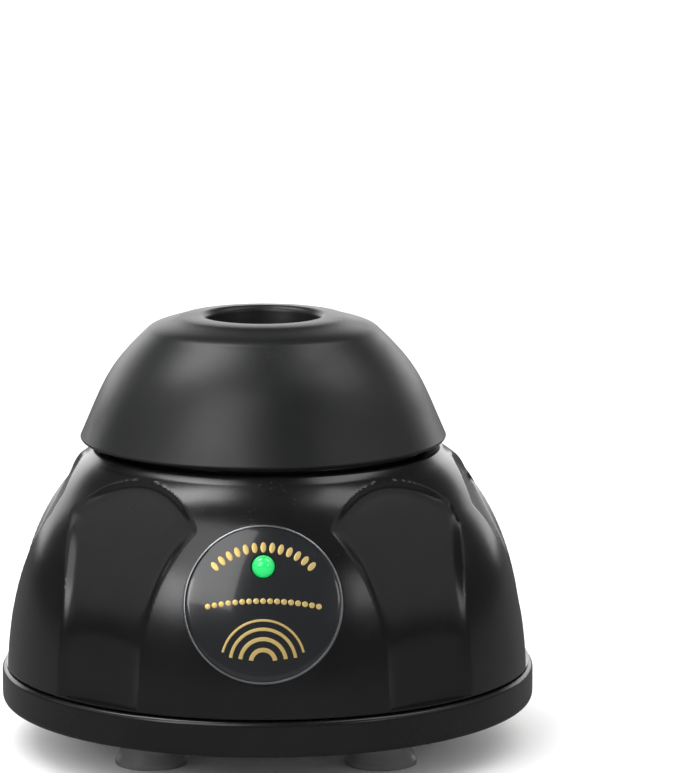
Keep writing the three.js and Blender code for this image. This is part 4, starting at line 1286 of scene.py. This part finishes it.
@dataclass
class UpperHousing:
    """Domed shell with panels, deck, neck, badge bed and jack pocket."""

    dome: Dome
    panels: ArchPanels
    plate: BasePlate
    foot: float = 17.9
    wall: float = 2.2
    thinnest: float = 1.7
    deck: float = 67.0
    deck_hole: float = 22.0
    neck: float = 36.0
    neck_top: float = 69.6
    columns: int = 600
    panel_density: float = 1.5
    badge_density: float = 0.8
    badge_radius: float = 16.7
    badge_height: float = 42.6
    badge_tilt: float = math.radians(16.2)
    badge_bed: float = 1.25
    edge_pull: float = 0.5
    jack_height: float = 28.0
    jack_seat: float = 56.2
    pocket: float = 7.4

    def angles(self) -> np.ndarray:
        """Azimuths of the columns from the front, closer together at the panels' edges."""
        marks = np.linspace(0, TAU, 7201)
        fine = np.degrees(marks[:-1])
        density = np.ones_like(fine)
        for centre in self.panels.azimuths:
            off = np.abs((fine - centre + 180) % 360 - 180)
            density += self.panel_density * ((off > 9.5) & (off < 24))
        front = np.abs((fine + 180) % 360 - 180)
        density += self.badge_density * ((front > 10) & (front < 20))
        total = np.concatenate([[0], np.cumsum(density)])
        return np.interp(np.arange(self.columns) * total[-1] / self.columns, total, marks)

    def face_rows(self) -> np.ndarray:
        """Heights of the rows on the dome's face, closer together near its top."""
        middle, top = 52, Dome.SHOULDER[1]
        low = np.linspace(self.foot + 0.45, middle, 66)
        return np.concatenate([low, np.linspace(middle, top, 38)[1:]])

    def snapped(self, points: np.ndarray, flat: np.ndarray, circle: float) -> np.ndarray:
        """Pulls vertices that are near a circle onto it.

        Args:
            points: flat (u, v) places of vertices.
            flat: distances from the circle's centre.
            circle: the circle's radius.

        Returns:
            The moved places.
        """
        near = np.abs(flat - circle) < self.edge_pull
        moved = points.copy()
        moved[near] *= (circle / flat[near])[:, None]
        return moved

    def face(self) -> tuple[np.ndarray, int]:
        """Vertices of the dome's face, row by row, with badge bed and jack pocket pushed in.

        Returns:
            Rows of (x, y, z), and how many rows of vertices there are.
        """
        azimuth, height = np.meshgrid(self.angles(), self.face_rows())
        azimuth, height = azimuth.ravel(), height.ravel()
        radius = self.panels.carve(self.dome.radius(height), azimuth, height)
        points = np.stack([radius * np.sin(azimuth), -radius * np.cos(azimuth), height], axis=1)

        tilt = self.badge_tilt
        base = np.array([0.0, -float(self.dome.radius(self.badge_height)), self.badge_height])
        up = np.array([0.0, math.sin(tilt), math.cos(tilt)])
        flat = np.stack([points[:, 0], (points - base) @ up], axis=1)
        reach = np.hypot(flat[:, 0], flat[:, 1])
        bed_edge = self.badge_radius + 0.12
        near = (points[:, 1] < 0) & (reach < bed_edge + self.edge_pull)
        snapped = self.snapped(flat[near], reach[near], bed_edge)
        lift = np.where(np.hypot(snapped[:, 0], snapped[:, 1]) < bed_edge - 0.02, -self.badge_bed, 0.0)
        points[near] = self.dome.projected(np.column_stack([snapped, lift]), self.badge_height, tilt)

        back = np.stack([points[:, 0], points[:, 2] - self.jack_height], axis=1)
        away = np.hypot(back[:, 0], back[:, 1])
        near = (points[:, 1] > 0) & (away < self.pocket + self.edge_pull)
        snapped = self.snapped(back[near], away[near], self.pocket)
        edge = np.hypot(snapped[:, 0], snapped[:, 1])
        height = snapped[:, 1] + self.jack_height
        deep = np.sqrt(np.maximum(self.dome.radius(height) ** 2 - snapped[:, 0] ** 2, 0))
        deep = np.where(edge < self.pocket - 0.02, self.jack_seat - 0.02, deep)
        points[near] = np.column_stack([snapped[:, 0], deep, height])
        return points, len(self.face_rows())

    def shell(self) -> MeshDraft:
        """The closed shell: face, deck, neck and inside.

        Returns:
            The shell's mesh.
        """
        face, count = self.face()
        angles = self.angles()
        rim = (float(self.dome.radius(self.foot)), self.foot, 0.42)
        below = filleted([(56.9, self.foot), rim, (58.9, 22.0)], 4)[1:-1]
        ceiling = self.deck - self.wall
        over = filleted([
            (41.2, 65.0), Dome.SHOULDER, (39.2, self.deck, 1.2), (self.neck, self.deck, 0.7),
            (self.neck, self.neck_top, 0.35), (self.neck - 2, self.neck_top, 0.35),
            (self.neck - 2, self.deck, 0.5), (self.deck_hole, self.deck, 0.5),
            (self.deck_hole, ceiling, 0.4), (36.5, ceiling)], 4)[2:-1]
        inside = [(36.5, ceiling), (39.0, 62.6), (45.5, 55.0), (50.2, 45.0), (52.4, 36.0), (54.6, 26.0),
                  (56.3, 20.0), (56.7, self.foot + 0.2)]
        rows = [self.ring(r, z, angles) for r, z in below]
        rows += [face[i * self.columns:(i + 1) * self.columns] for i in range(count)]
        rows += [self.ring(r, z, angles) for r, z in over]
        rows += [self.inner_ring(r, z, angles) for r, z in inside]
        faces = ring_faces(len(rows), self.columns, closed_rows=True)
        return MeshDraft().take(np.vstack(rows), faces)

    @staticmethod
    def ring(radius: float, height: float, angles: np.ndarray) -> np.ndarray:
        """Vertices of a plain ring."""
        heights = np.full_like(angles, height)
        return np.column_stack([radius * np.sin(angles), -radius * np.cos(angles), heights])

    def inner_ring(self, radius: float, height: float, angles: np.ndarray) -> np.ndarray:
        """Vertices of an inside ring that keeps clear of the panels and of the jack pocket.

        Args:
            radius: largest radius.
            height: height of the ring.
            angles: azimuths of the columns.

        Returns:
            The ring's vertices.
        """
        heights = np.full_like(angles, height)
        outer = self.panels.carve(self.dome.radius(heights), angles, heights)
        kept = np.minimum(radius, outer - self.thinnest)
        back = np.abs(np.degrees(angles) - 180) < 14
        behind_jack = back & (abs(height - self.jack_height) < 14)
        kept = np.where(behind_jack, np.minimum(kept, self.jack_seat - 3), kept)
        return np.column_stack([kept * np.sin(angles), -kept * np.cos(angles), heights])

    def posts(self) -> MeshDraft:
        """The four hollow posts that take the case screws."""
        bore, radius, low, top = 1.5, 4.0, 12.7, 40.0
        profile = filleted([
            (0.0, low + 12.3), (bore, low + 12.3), (bore, low), (radius, low, 0.3), (radius, top),
            (0.0, top)], 3)
        draft = MeshDraft()
        for x, y, _ in self.plate.screw_places:
            draft.join(turned(profile, 32).moved(Matrix.Translation((x, y, 0))))
        return draft

    def jack_bezel(self) -> MeshDraft:
        """The slightly raised round lip of the jack pocket.

        Returns:
            A closed ring that follows the dome's back.
        """
        section = [(6.95, -1.6), (8.7, -1.6), (8.7, 0.0), (8.55, 0.3), (8.2, 0.5), (7.3, 0.5),
                   (7.05, 0.3), (6.95, 0.05)]
        segments = 120
        angles = np.arange(segments) * TAU / segments
        rows = []
        for reach, lift in section:
            u, v = reach * np.cos(angles), reach * np.sin(angles)
            height = self.jack_height + v
            depth = np.sqrt(self.dome.radius(height) ** 2 - u * u) + lift
            rows.append(np.column_stack([u, depth, height]))
        faces = [tuple(reversed(f)) for f in ring_faces(len(rows), segments, closed_rows=True)]
        return MeshDraft().take(np.vstack(rows), faces)

    def build(self, workshop: Workshop) -> None:
        """Makes the housing.

        Args:
            workshop: workshop that makes the piece.
        """
        draft = self.shell().join(self.posts()).join(self.jack_bezel())
        workshop.piece("domed_housing", draft, "black_shell", Body.HOUSING, ["upper_housing"], sharp=28)


@dataclass
class Badge:
    """Round lacquered badge with a bright rim and a plain gilt pattern round its green lamp.

    Each row of DASH_RUNS has the arc's centre, radius, first angle, sweep, count of dashes and a dash's size.
    """

    DASH_RUNS = (
        ((0.0, -3.0, 0.0), 15.2, 47.0, 86.0, 13, (0.62, 1.15, 0.06)),
        ((0.0, -64.0, 0.0), 64.6, 79.4, 21.2, 17, (0.62, 0.62, 0.06)),
    )

    dome: Dome
    radius: float = 16.7
    height: float = 42.6
    tilt: float = math.radians(16.2)
    sink: float = 0.15
    thickness: float = 0.9
    lamp_radius: float = 2.5
    lamp_height: float = 50.2
    segments: int = 240
    rim_segments: int = 320
    gilt_height: float = 0.055
    ripple_middle: tuple[float, float] = (0.0, -12.4)
    ripples: tuple[tuple[float, float, float], ...] = (
        (2.6, 0.95, 8), (4.9, 0.85, 8), (7.0, 0.7, 8), (8.9, 0.5, 14))

    @property
    def lamp_lift(self) -> float:
        """How far the lamp's centre lies above the badge's own, in the badge's plane."""
        rise = self.lamp_height - self.height
        back = float(self.dome.radius(self.height) - self.dome.radius(self.lamp_height))
        return rise * math.cos(self.tilt) + back * math.sin(self.tilt)

    def laid(self, draft: MeshDraft) -> MeshDraft:
        """Lays a flat draft on the dome, its Z being the lift above the badge's face."""
        flat = np.array(draft.points)
        flat[:, 2] -= self.sink
        laid = self.dome.projected(flat, self.height, self.tilt)
        return MeshDraft([tuple(p) for p in laid], list(draft.faces))

    def plate(self) -> MeshDraft:
        """The badge itself, with the lamp's hole.

        Returns:
            A closed disc whose edge is rounded.
        """
        edge, hole, deep = self.radius, self.lamp_radius + 0.22, -self.thickness
        angles = np.arange(self.segments) * TAU / self.segments
        outward = np.column_stack([np.cos(angles), np.sin(angles)])
        centre = np.array([0.0, self.lamp_lift])
        top = [(share, 0.0) for share in np.linspace(0.03, 0.985, 22)]
        bevel = -0.12
        rows = []
        for share, lift in [(0.0, deep), (0.0, bevel), (0.004, 0.0), *top, (1.0, bevel), (1.0, deep)]:
            inner, outer = centre + outward * hole, outward * edge
            flat = inner + (outer - inner) * share
            rows.append(np.column_stack([flat, np.full(self.segments, lift)]))
        faces = [tuple(reversed(f)) for f in ring_faces(len(rows), self.segments, closed_rows=True)]
        return self.laid(MeshDraft().take(np.vstack(rows), faces))

    def rim(self) -> MeshDraft:
        """The thin bright ring round the badge."""
        offsets = [(-0.02, -0.5), (0.4, -0.5), (0.42, 0.16), (0.32, 0.24), (0.16, 0.26), (0.03, 0.2),
                   (-0.02, 0.1)]
        section = [(self.radius + out, lift) for out, lift in offsets]
        return self.laid(turned(section, self.rim_segments))

    def ripple(self, radius: float, width: float, start: float) -> MeshDraft:
        """A thin raised line along an arc round the ripples' middle.

        Args:
            radius: radius of the arc.
            width: width of the line.
            start: first angle in degrees, the last being as far from the other side.

        Returns:
            The closed strip.
        """
        across, up = self.ripple_middle
        steps = int((180 - 2 * start) / 2.5)
        angles = np.radians(np.linspace(start, 180 - start, steps + 1))
        sunk, side, half = -0.05, self.gilt_height - 0.02, width / 2
        section = [(-half, sunk), (half, sunk), (half, side), (half / 2, self.gilt_height),
                   (-half / 2, self.gilt_height), (-half, side)]
        points = [(across + (radius + off) * math.cos(a), up + (radius + off) * math.sin(a), lift)
                  for a in angles for off, lift in section]
        count, last = len(section), steps * len(section)
        faces = [(high + k, high + (k + 1) % count, high - count + (k + 1) % count, high - count + k)
                 for high in range(count, last + 1, count) for k in range(count)]
        faces += [tuple(range(count)), tuple(last + k for k in reversed(range(count)))]
        return MeshDraft().take(points, faces)

    def gilt(self, workshop: Workshop, trees: GeometryTrees) -> MeshDraft:
        """The gilt pattern: an arc and a row of dashes, and ripples rising from the lower edge.

        Args:
            workshop: workshop that bakes carriers.
            trees: geometry node trees.

        Returns:
            The pattern laid on the badge.
        """
        flat = MeshDraft()
        finish = workshop.shelf.get("badge_gilt")
        for centre, radius, start, sweep, count, size in self.DASH_RUNS:
            values = {"Radius": radius * MM, "Start": math.radians(start), "Sweep": math.radians(sweep),
                      "Count": count, "Mark Size": tuple(s * MM for s in size), "Finish": finish}
            dashes = trees.run(trees.marks, [(0.0, 0.0, 0.0)], values, workshop, "dashes")
            shift = Vector(centre)
            points = [tuple(v.co / MM + shift) for v in dashes.vertices]
            flat.take(points, [tuple(p.vertices) for p in dashes.polygons])
        for ripple in self.ripples:
            flat.join(self.ripple(*ripple))
        return self.laid(flat)

    def lamp(self) -> MeshDraft:
        """The lamp: a clear domed body with a collar behind the badge."""
        profile = [(0.0, -7.6), (2.95, -7.6), (2.95, -6.6), (self.lamp_radius, -6.6)]
        profile += [(self.lamp_radius * math.cos(a), -0.9 + self.lamp_radius * math.sin(a))
                    for a in np.linspace(0, math.pi / 2, 18)[:-1]]
        profile += [(0.0, self.lamp_radius - 0.9)]
        lean = Matrix.Rotation(math.pi / 2 - self.tilt, 4, "X")
        out = Matrix.Translation((0, -float(self.dome.radius(self.lamp_height)), self.lamp_height))
        return turned(profile, 72).moved(out @ lean)

    def build(self, workshop: Workshop, trees: GeometryTrees) -> None:
        """Makes badge, rim, pattern and lamp.

        Args:
            workshop: workshop that makes the pieces.
            trees: geometry node trees.
        """
        workshop.piece("badge_face", self.plate(), "badge_lacquer", Body.HOUSING, ["badge_plate"])
        workshop.piece("badge_rim", self.rim(), "badge_rim_bright", Body.HOUSING)
        workshop.piece("badge_pattern", self.gilt(workshop, trees), "badge_gilt", Body.HOUSING)
        workshop.piece("green_lamp", self.lamp(), "lamp_green", Body.HOUSING, ["status_lamp"], sharp=50)


# ------------------------------------------------------------------ power jack


@dataclass
class PowerJack:
    """Round power inlet in the back, with its contact pin."""

    height: float = 28.0
    seat: float = 56.2
    barrel: float = 4.0

    def placed(self, profile: Sequence[tuple[float, float]], segments: int) -> MeshDraft:
        """Turns a profile and points it out of the back.

        Args:
            profile: (radius, distance out of the seat) points.
            segments: facets all round.

        Returns:
            The placed mesh.
        """
        return turned(profile, segments).moved(
            Matrix.Translation((0, self.seat, self.height)) @ Matrix.Rotation(-math.pi / 2, 4, "X"))

    def build(self, workshop: Workshop) -> None:
        """Makes the jack's body and pin.

        Args:
            workshop: workshop that makes the pieces.
        """
        body = filleted([
            (2.8, 1.6, 0.35), (2.8, -9.5), (0.75, -9.5), (0.75, -14.2), (3.4, -14.2, 0.2), (3.4, -12.4),
            (self.barrel, -12.4), (self.barrel, 0.0), (6.8, 0.0), (6.8, 1.0, 0.3), (6.2, 1.6, 0.3),
            (4.9, 1.6), (4.75, 1.42), (4.55, 1.42), (4.4, 1.6)], 5)
        if signed_area(body) < 0:
            body = body[::-1]
        pin = filleted([
            (0.0, -14.9), (0.7, -14.9), (0.7, -9.45), (1.05, -9.45), (1.05, -0.6, 0.3),
            (0.6, 0.0, 0.2), (0.0, 0.0)], 5)
        workshop.piece("jack_socket", self.placed(body, 120), "black_plate", Body.HOUSING, ["dc_jack_body"])
        workshop.piece("jack_contact", self.placed(pin, 48), "brass_part", Body.HOUSING, ["dc_jack_pin"])


def signed_area(profile: Sequence[tuple[float, float]]) -> float:
    """Area of a closed profile, positive when it runs anticlockwise."""
    return sum(a * d - c * b for (a, b), (c, d) in zip(profile, [*profile[1:], profile[0]])) / 2


# ------------------------------------------------------------------ hood


@dataclass
class CupHood:
    """The rubber hood: skirt, shoulder, crest, cup and the grip under it."""

    crank: tuple[float, float] = (-0.8947, 1.3265)
    foot: tuple[float, float] = (41.02, 69.4)
    shoulder: tuple[float, float] = (26.27, 92.9)
    bottom: float = 68.5
    throat: float = 12.83
    crest_top: float = 96.4
    segments: int = 320

    @staticmethod
    def arc(r: float, z: float, radius: float, start: float, end: float,
            steps: int) -> list[tuple[float, float]]:
        """Points of an arc round (r, z), angles in degrees from outwards."""
        angles = np.radians(np.linspace(start, end, steps + 1))
        return [(r + radius * math.cos(a), z + radius * math.sin(a)) for a in angles]

    def profile(self) -> list[tuple[float, float]]:
        """The hood's whole section, from the middle of its underside to the middle of its cup."""
        grip = filleted([
            (0.0, 79.7), (5.6, 79.7, 0.2), (6.2, 79.25), (17.12, 79.25), (17.12, 73.3), (15.8, 73.3),
            (15.8, 71.8, 0.3), (19.6, 71.8, 0.4), (19.6, 79.6, 1.5), (15.4, 84.0, 1.5),
            (15.2, 89.0, 1.0), (17.4, 91.4, 1.0)], 4)
        lining = cubic((24.4, 90.4), (33.4, 82.9), (33.6, 80.2), (38.42, 69.8), 20)
        lip = [(38.5, self.bottom + 0.25), (38.75, self.bottom)]
        edge = self.arc(self.foot[0] - 0.6, self.bottom + 0.7, 0.7, -85, 0, 7)
        skirt = cubic(self.foot, (35.85, 81.16), (35.45, 84.23), self.shoulder, 44)
        over = cubic(self.shoulder, (25.2, 94.4), (21.3, 95.0), (18.9, 95.9), 16)[1:]
        crest = [*over, *cubic((18.9, 95.9), (18.0, 96.24), (16.2, 96.4), (14.5, 96.4), 10)[1:-1],
                 *self.arc(self.throat + 1.5, self.crest_top - 1.5, 1.5, 88, 180, 14)]
        cup = cubic((12.7, 94.0), (12.2, 86.5), (10.2, 82.2), (4.0, 82.0), 22) + [(0.0, 82.0)]
        return [*grip, *lining, *lip, *edge, *skirt, *crest, *cup]

    def build(self, workshop: Workshop) -> None:
        """Makes the hood on the crank's axis.

        Args:
            workshop: workshop that makes the piece.
        """
        draft = turned(self.profile(), self.segments).moved(Matrix.Translation((*self.crank, 0)))
        workshop.piece("floating_hood", draft, "hood_silicone", Body.CUP, ["cup_hood"], sharp=50)


# ------------------------------------------------------------------ carried-over nodes


class FrameFinishes:
    """Dresses the CAD nodes that keep their own meshes."""

    def __init__(self, shelf: FinishShelf) -> None:
        """Keeps the shelf of finishes.

        Args:
            shelf: finishes to dress nodes with.
        """
        self.shelf = shelf

    def dress(self, replaced: Iterable[str]) -> None:
        """Assigns each remaining node its slot's finish.

        Args:
            replaced: nodes that a new piece stands for.
        """
        slots = {part["node"]: part["material_slot"] for part in frame["record"]["subparts"]}
        for name, node in frame["nodes"].items():
            if name in replaced:
                continue
            finish = FinishShelf.BY_SLOT[slots[name]]
            for holder in node.material_slots:
                holder.material = self.shelf.get(finish)
            log.info("%s: dressed with %s", name, finish)


# ------------------------------------------------------------------ studio


@dataclass(frozen=True)
class SoftLight:
    """One soft area light aimed at a point."""

    name: str
    place: Point
    aim: Point
    width: float
    length: float
    power: float

    def build(self) -> None:
        """Adds the light."""
        data = bpy.data.lights.new(self.name, "AREA")
        data.shape = "RECTANGLE"
        data.size, data.size_y, data.energy = self.width, self.length, self.power
        light = bpy.data.objects.new(self.name, data)
        light.location = self.place
        light.rotation_mode = "QUATERNION"
        light.rotation_quaternion = (Vector(self.aim) - Vector(self.place)).to_track_quat("-Z", "Y")
        bpy.context.scene.collection.objects.link(light)


@dataclass
class Studio:
    """Camera, pale floor, pale surroundings and soft lights."""

    camera_place: Point = (0.01705, -0.97665, 0.2473)
    pitch: float = -9.71
    yaw: float = -0.047
    roll: float = 0.0
    lens: float = 205.7
    lights: tuple[SoftLight, ...] = (
        SoftLight("left_window", (-0.5, -0.82, 0.78), (0, 0, 0.05), 0.7, 0.85, 4.6),
        SoftLight("left_card", (-0.86, -0.86, 0.5), (0, 0, 0.05), 0.42, 0.3, 1.6),
        SoftLight("right_card", (0.88, -0.8, 0.5), (0, 0, 0.05), 0.34, 0.24, 0.7),
        SoftLight("overhead_left", (-0.5, 0.06, 1.05), (0, 0, 0.05), 0.34, 0.6, 4.8),
        SoftLight("overhead_right", (0.58, 0.02, 1.05), (0, 0, 0.05), 0.42, 0.6, 2.3),
        SoftLight("back_wall", (0.0, 2.3, 0.61), (0, 0, 0.06), 5.0, 0.92, 34.0),
        SoftLight("side_left", (-1.3, -0.1, 0.84), (0, 0, 0.05), 1.4, 0.95, 2.0),
        SoftLight("side_right", (1.3, -0.1, 0.84), (0, 0, 0.05), 1.4, 0.95, 1.6),
    )

    def camera(self) -> None:
        """Adds the camera at the fixed viewing angle."""
        data = bpy.data.cameras.new("view_camera")
        data.lens = self.lens
        data.sensor_width = 36.0
        data.sensor_fit = "AUTO"
        data.clip_start, data.clip_end = 0.05, 20.0
        camera = bpy.data.objects.new("view_camera", data)
        camera.location = self.camera_place
        camera.rotation_euler = [math.radians(a) for a in (90 + self.pitch, self.roll, -self.yaw)]
        bpy.context.scene.collection.objects.link(camera)
        bpy.context.scene.camera = camera

    def floor(self) -> None:
        """Adds the pale floor as a large disc."""
        angles = np.arange(96) * TAU / 96
        points = [(2600 * math.cos(a), 2600 * math.sin(a), -0.02) for a in angles]
        mesh = MeshDraft().take(points, [tuple(range(96))]).mesh("studio_floor")
        material = bpy.data.materials.new("pale_floor")
        material.use_nodes = True
        draft = NodeDraft(material.node_tree)
        place = draft.add("ShaderNodeTexCoord").outputs["Object"]
        cloud = draft.noise(place, 5.0, 2.0)
        tone = draft.blend_color(cloud, rgba((0.93, 0.93, 0.925)), rgba((0.96, 0.96, 0.955)))
        shader = draft.add("ShaderNodeBsdfPrincipled", {"Base Color": tone, "Roughness": 0.7})
        dim = draft.add("ShaderNodeBsdfDiffuse", {"Color": rgba((0.14, 0.14, 0.14))})
        ray = draft.add("ShaderNodeLightPath")
        mix = draft.add("ShaderNodeMixShader", {
            0: ray.outputs["Is Glossy Ray"], 1: shader.outputs["BSDF"], 2: dim.outputs["BSDF"]})
        draft.add("ShaderNodeOutputMaterial", {"Surface": mix.outputs[0]})
        mesh.materials.append(material)
        floor = bpy.data.objects.new("studio_floor", mesh)
        bpy.context.scene.collection.objects.link(floor)
        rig.stage(floor)

    def surroundings(self) -> None:
        """Sets pale surroundings that reflect softly."""
        world = bpy.data.worlds.new("pale_room")
        bpy.context.scene.world = world
        world.use_nodes = True
        draft = NodeDraft(world.node_tree)
        even = draft.add("ShaderNodeBackground", {"Color": rgba((1.0, 1.0, 1.0)), "Strength": 1.0})
        mirrored = draft.add("ShaderNodeBackground", {"Color": rgba((1.0, 1.0, 1.0)), "Strength": 0.07})
        ray = draft.add("ShaderNodeLightPath")
        mix = draft.add("ShaderNodeMixShader", {
            0: ray.outputs["Is Glossy Ray"], 1: even.outputs[0], 2: mirrored.outputs[0]})
        draft.add("ShaderNodeOutputWorld", {"Surface": mix.outputs[0]})

    def build(self) -> None:
        """Sets up the whole studio."""
        bpy.context.scene.view_settings.view_transform = "Standard"
        self.camera()
        self.floor()
        self.surroundings()
        for light in self.lights:
            light.build()
        log.info("studio: %d lights", len(self.lights))


# ------------------------------------------------------------------ the whole mixer


def write_sizes() -> None:
    boxes = {"cad": CAD_BOX, "visual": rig.bounds()}
    with open(SIZE_FILE, "w", encoding="utf-8") as out:
        json.dump({name: [list(corner) for corner in box] for name, box in boxes.items()}, out)


def main() -> None:
    """Builds the mixer round its frame."""
    logging.basicConfig(level=logging.INFO, format="%(name)s: %(message)s")
    Studio().build()
    shelf = FinishShelf()
    workshop = Workshop(shelf)
    trees = GeometryTrees()
    plate, dome = BasePlate(), Dome()
    plate.build(workshop)
    SuctionFeet(plate).build(workshop, trees)
    CaseScrews(plate).build(workshop, trees)
    UpperHousing(dome, ArchPanels(), plate).build(workshop)
    Badge(dome).build(workshop, trees)
    PowerJack().build(workshop)
    CupHood().build(workshop)
    replaced = {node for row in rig.table()["pieces"] for node in row.get("replaces", [])}
    FrameFinishes(shelf).dress(replaced)


if __name__ == "__main__":
    main()
    write_sizes()
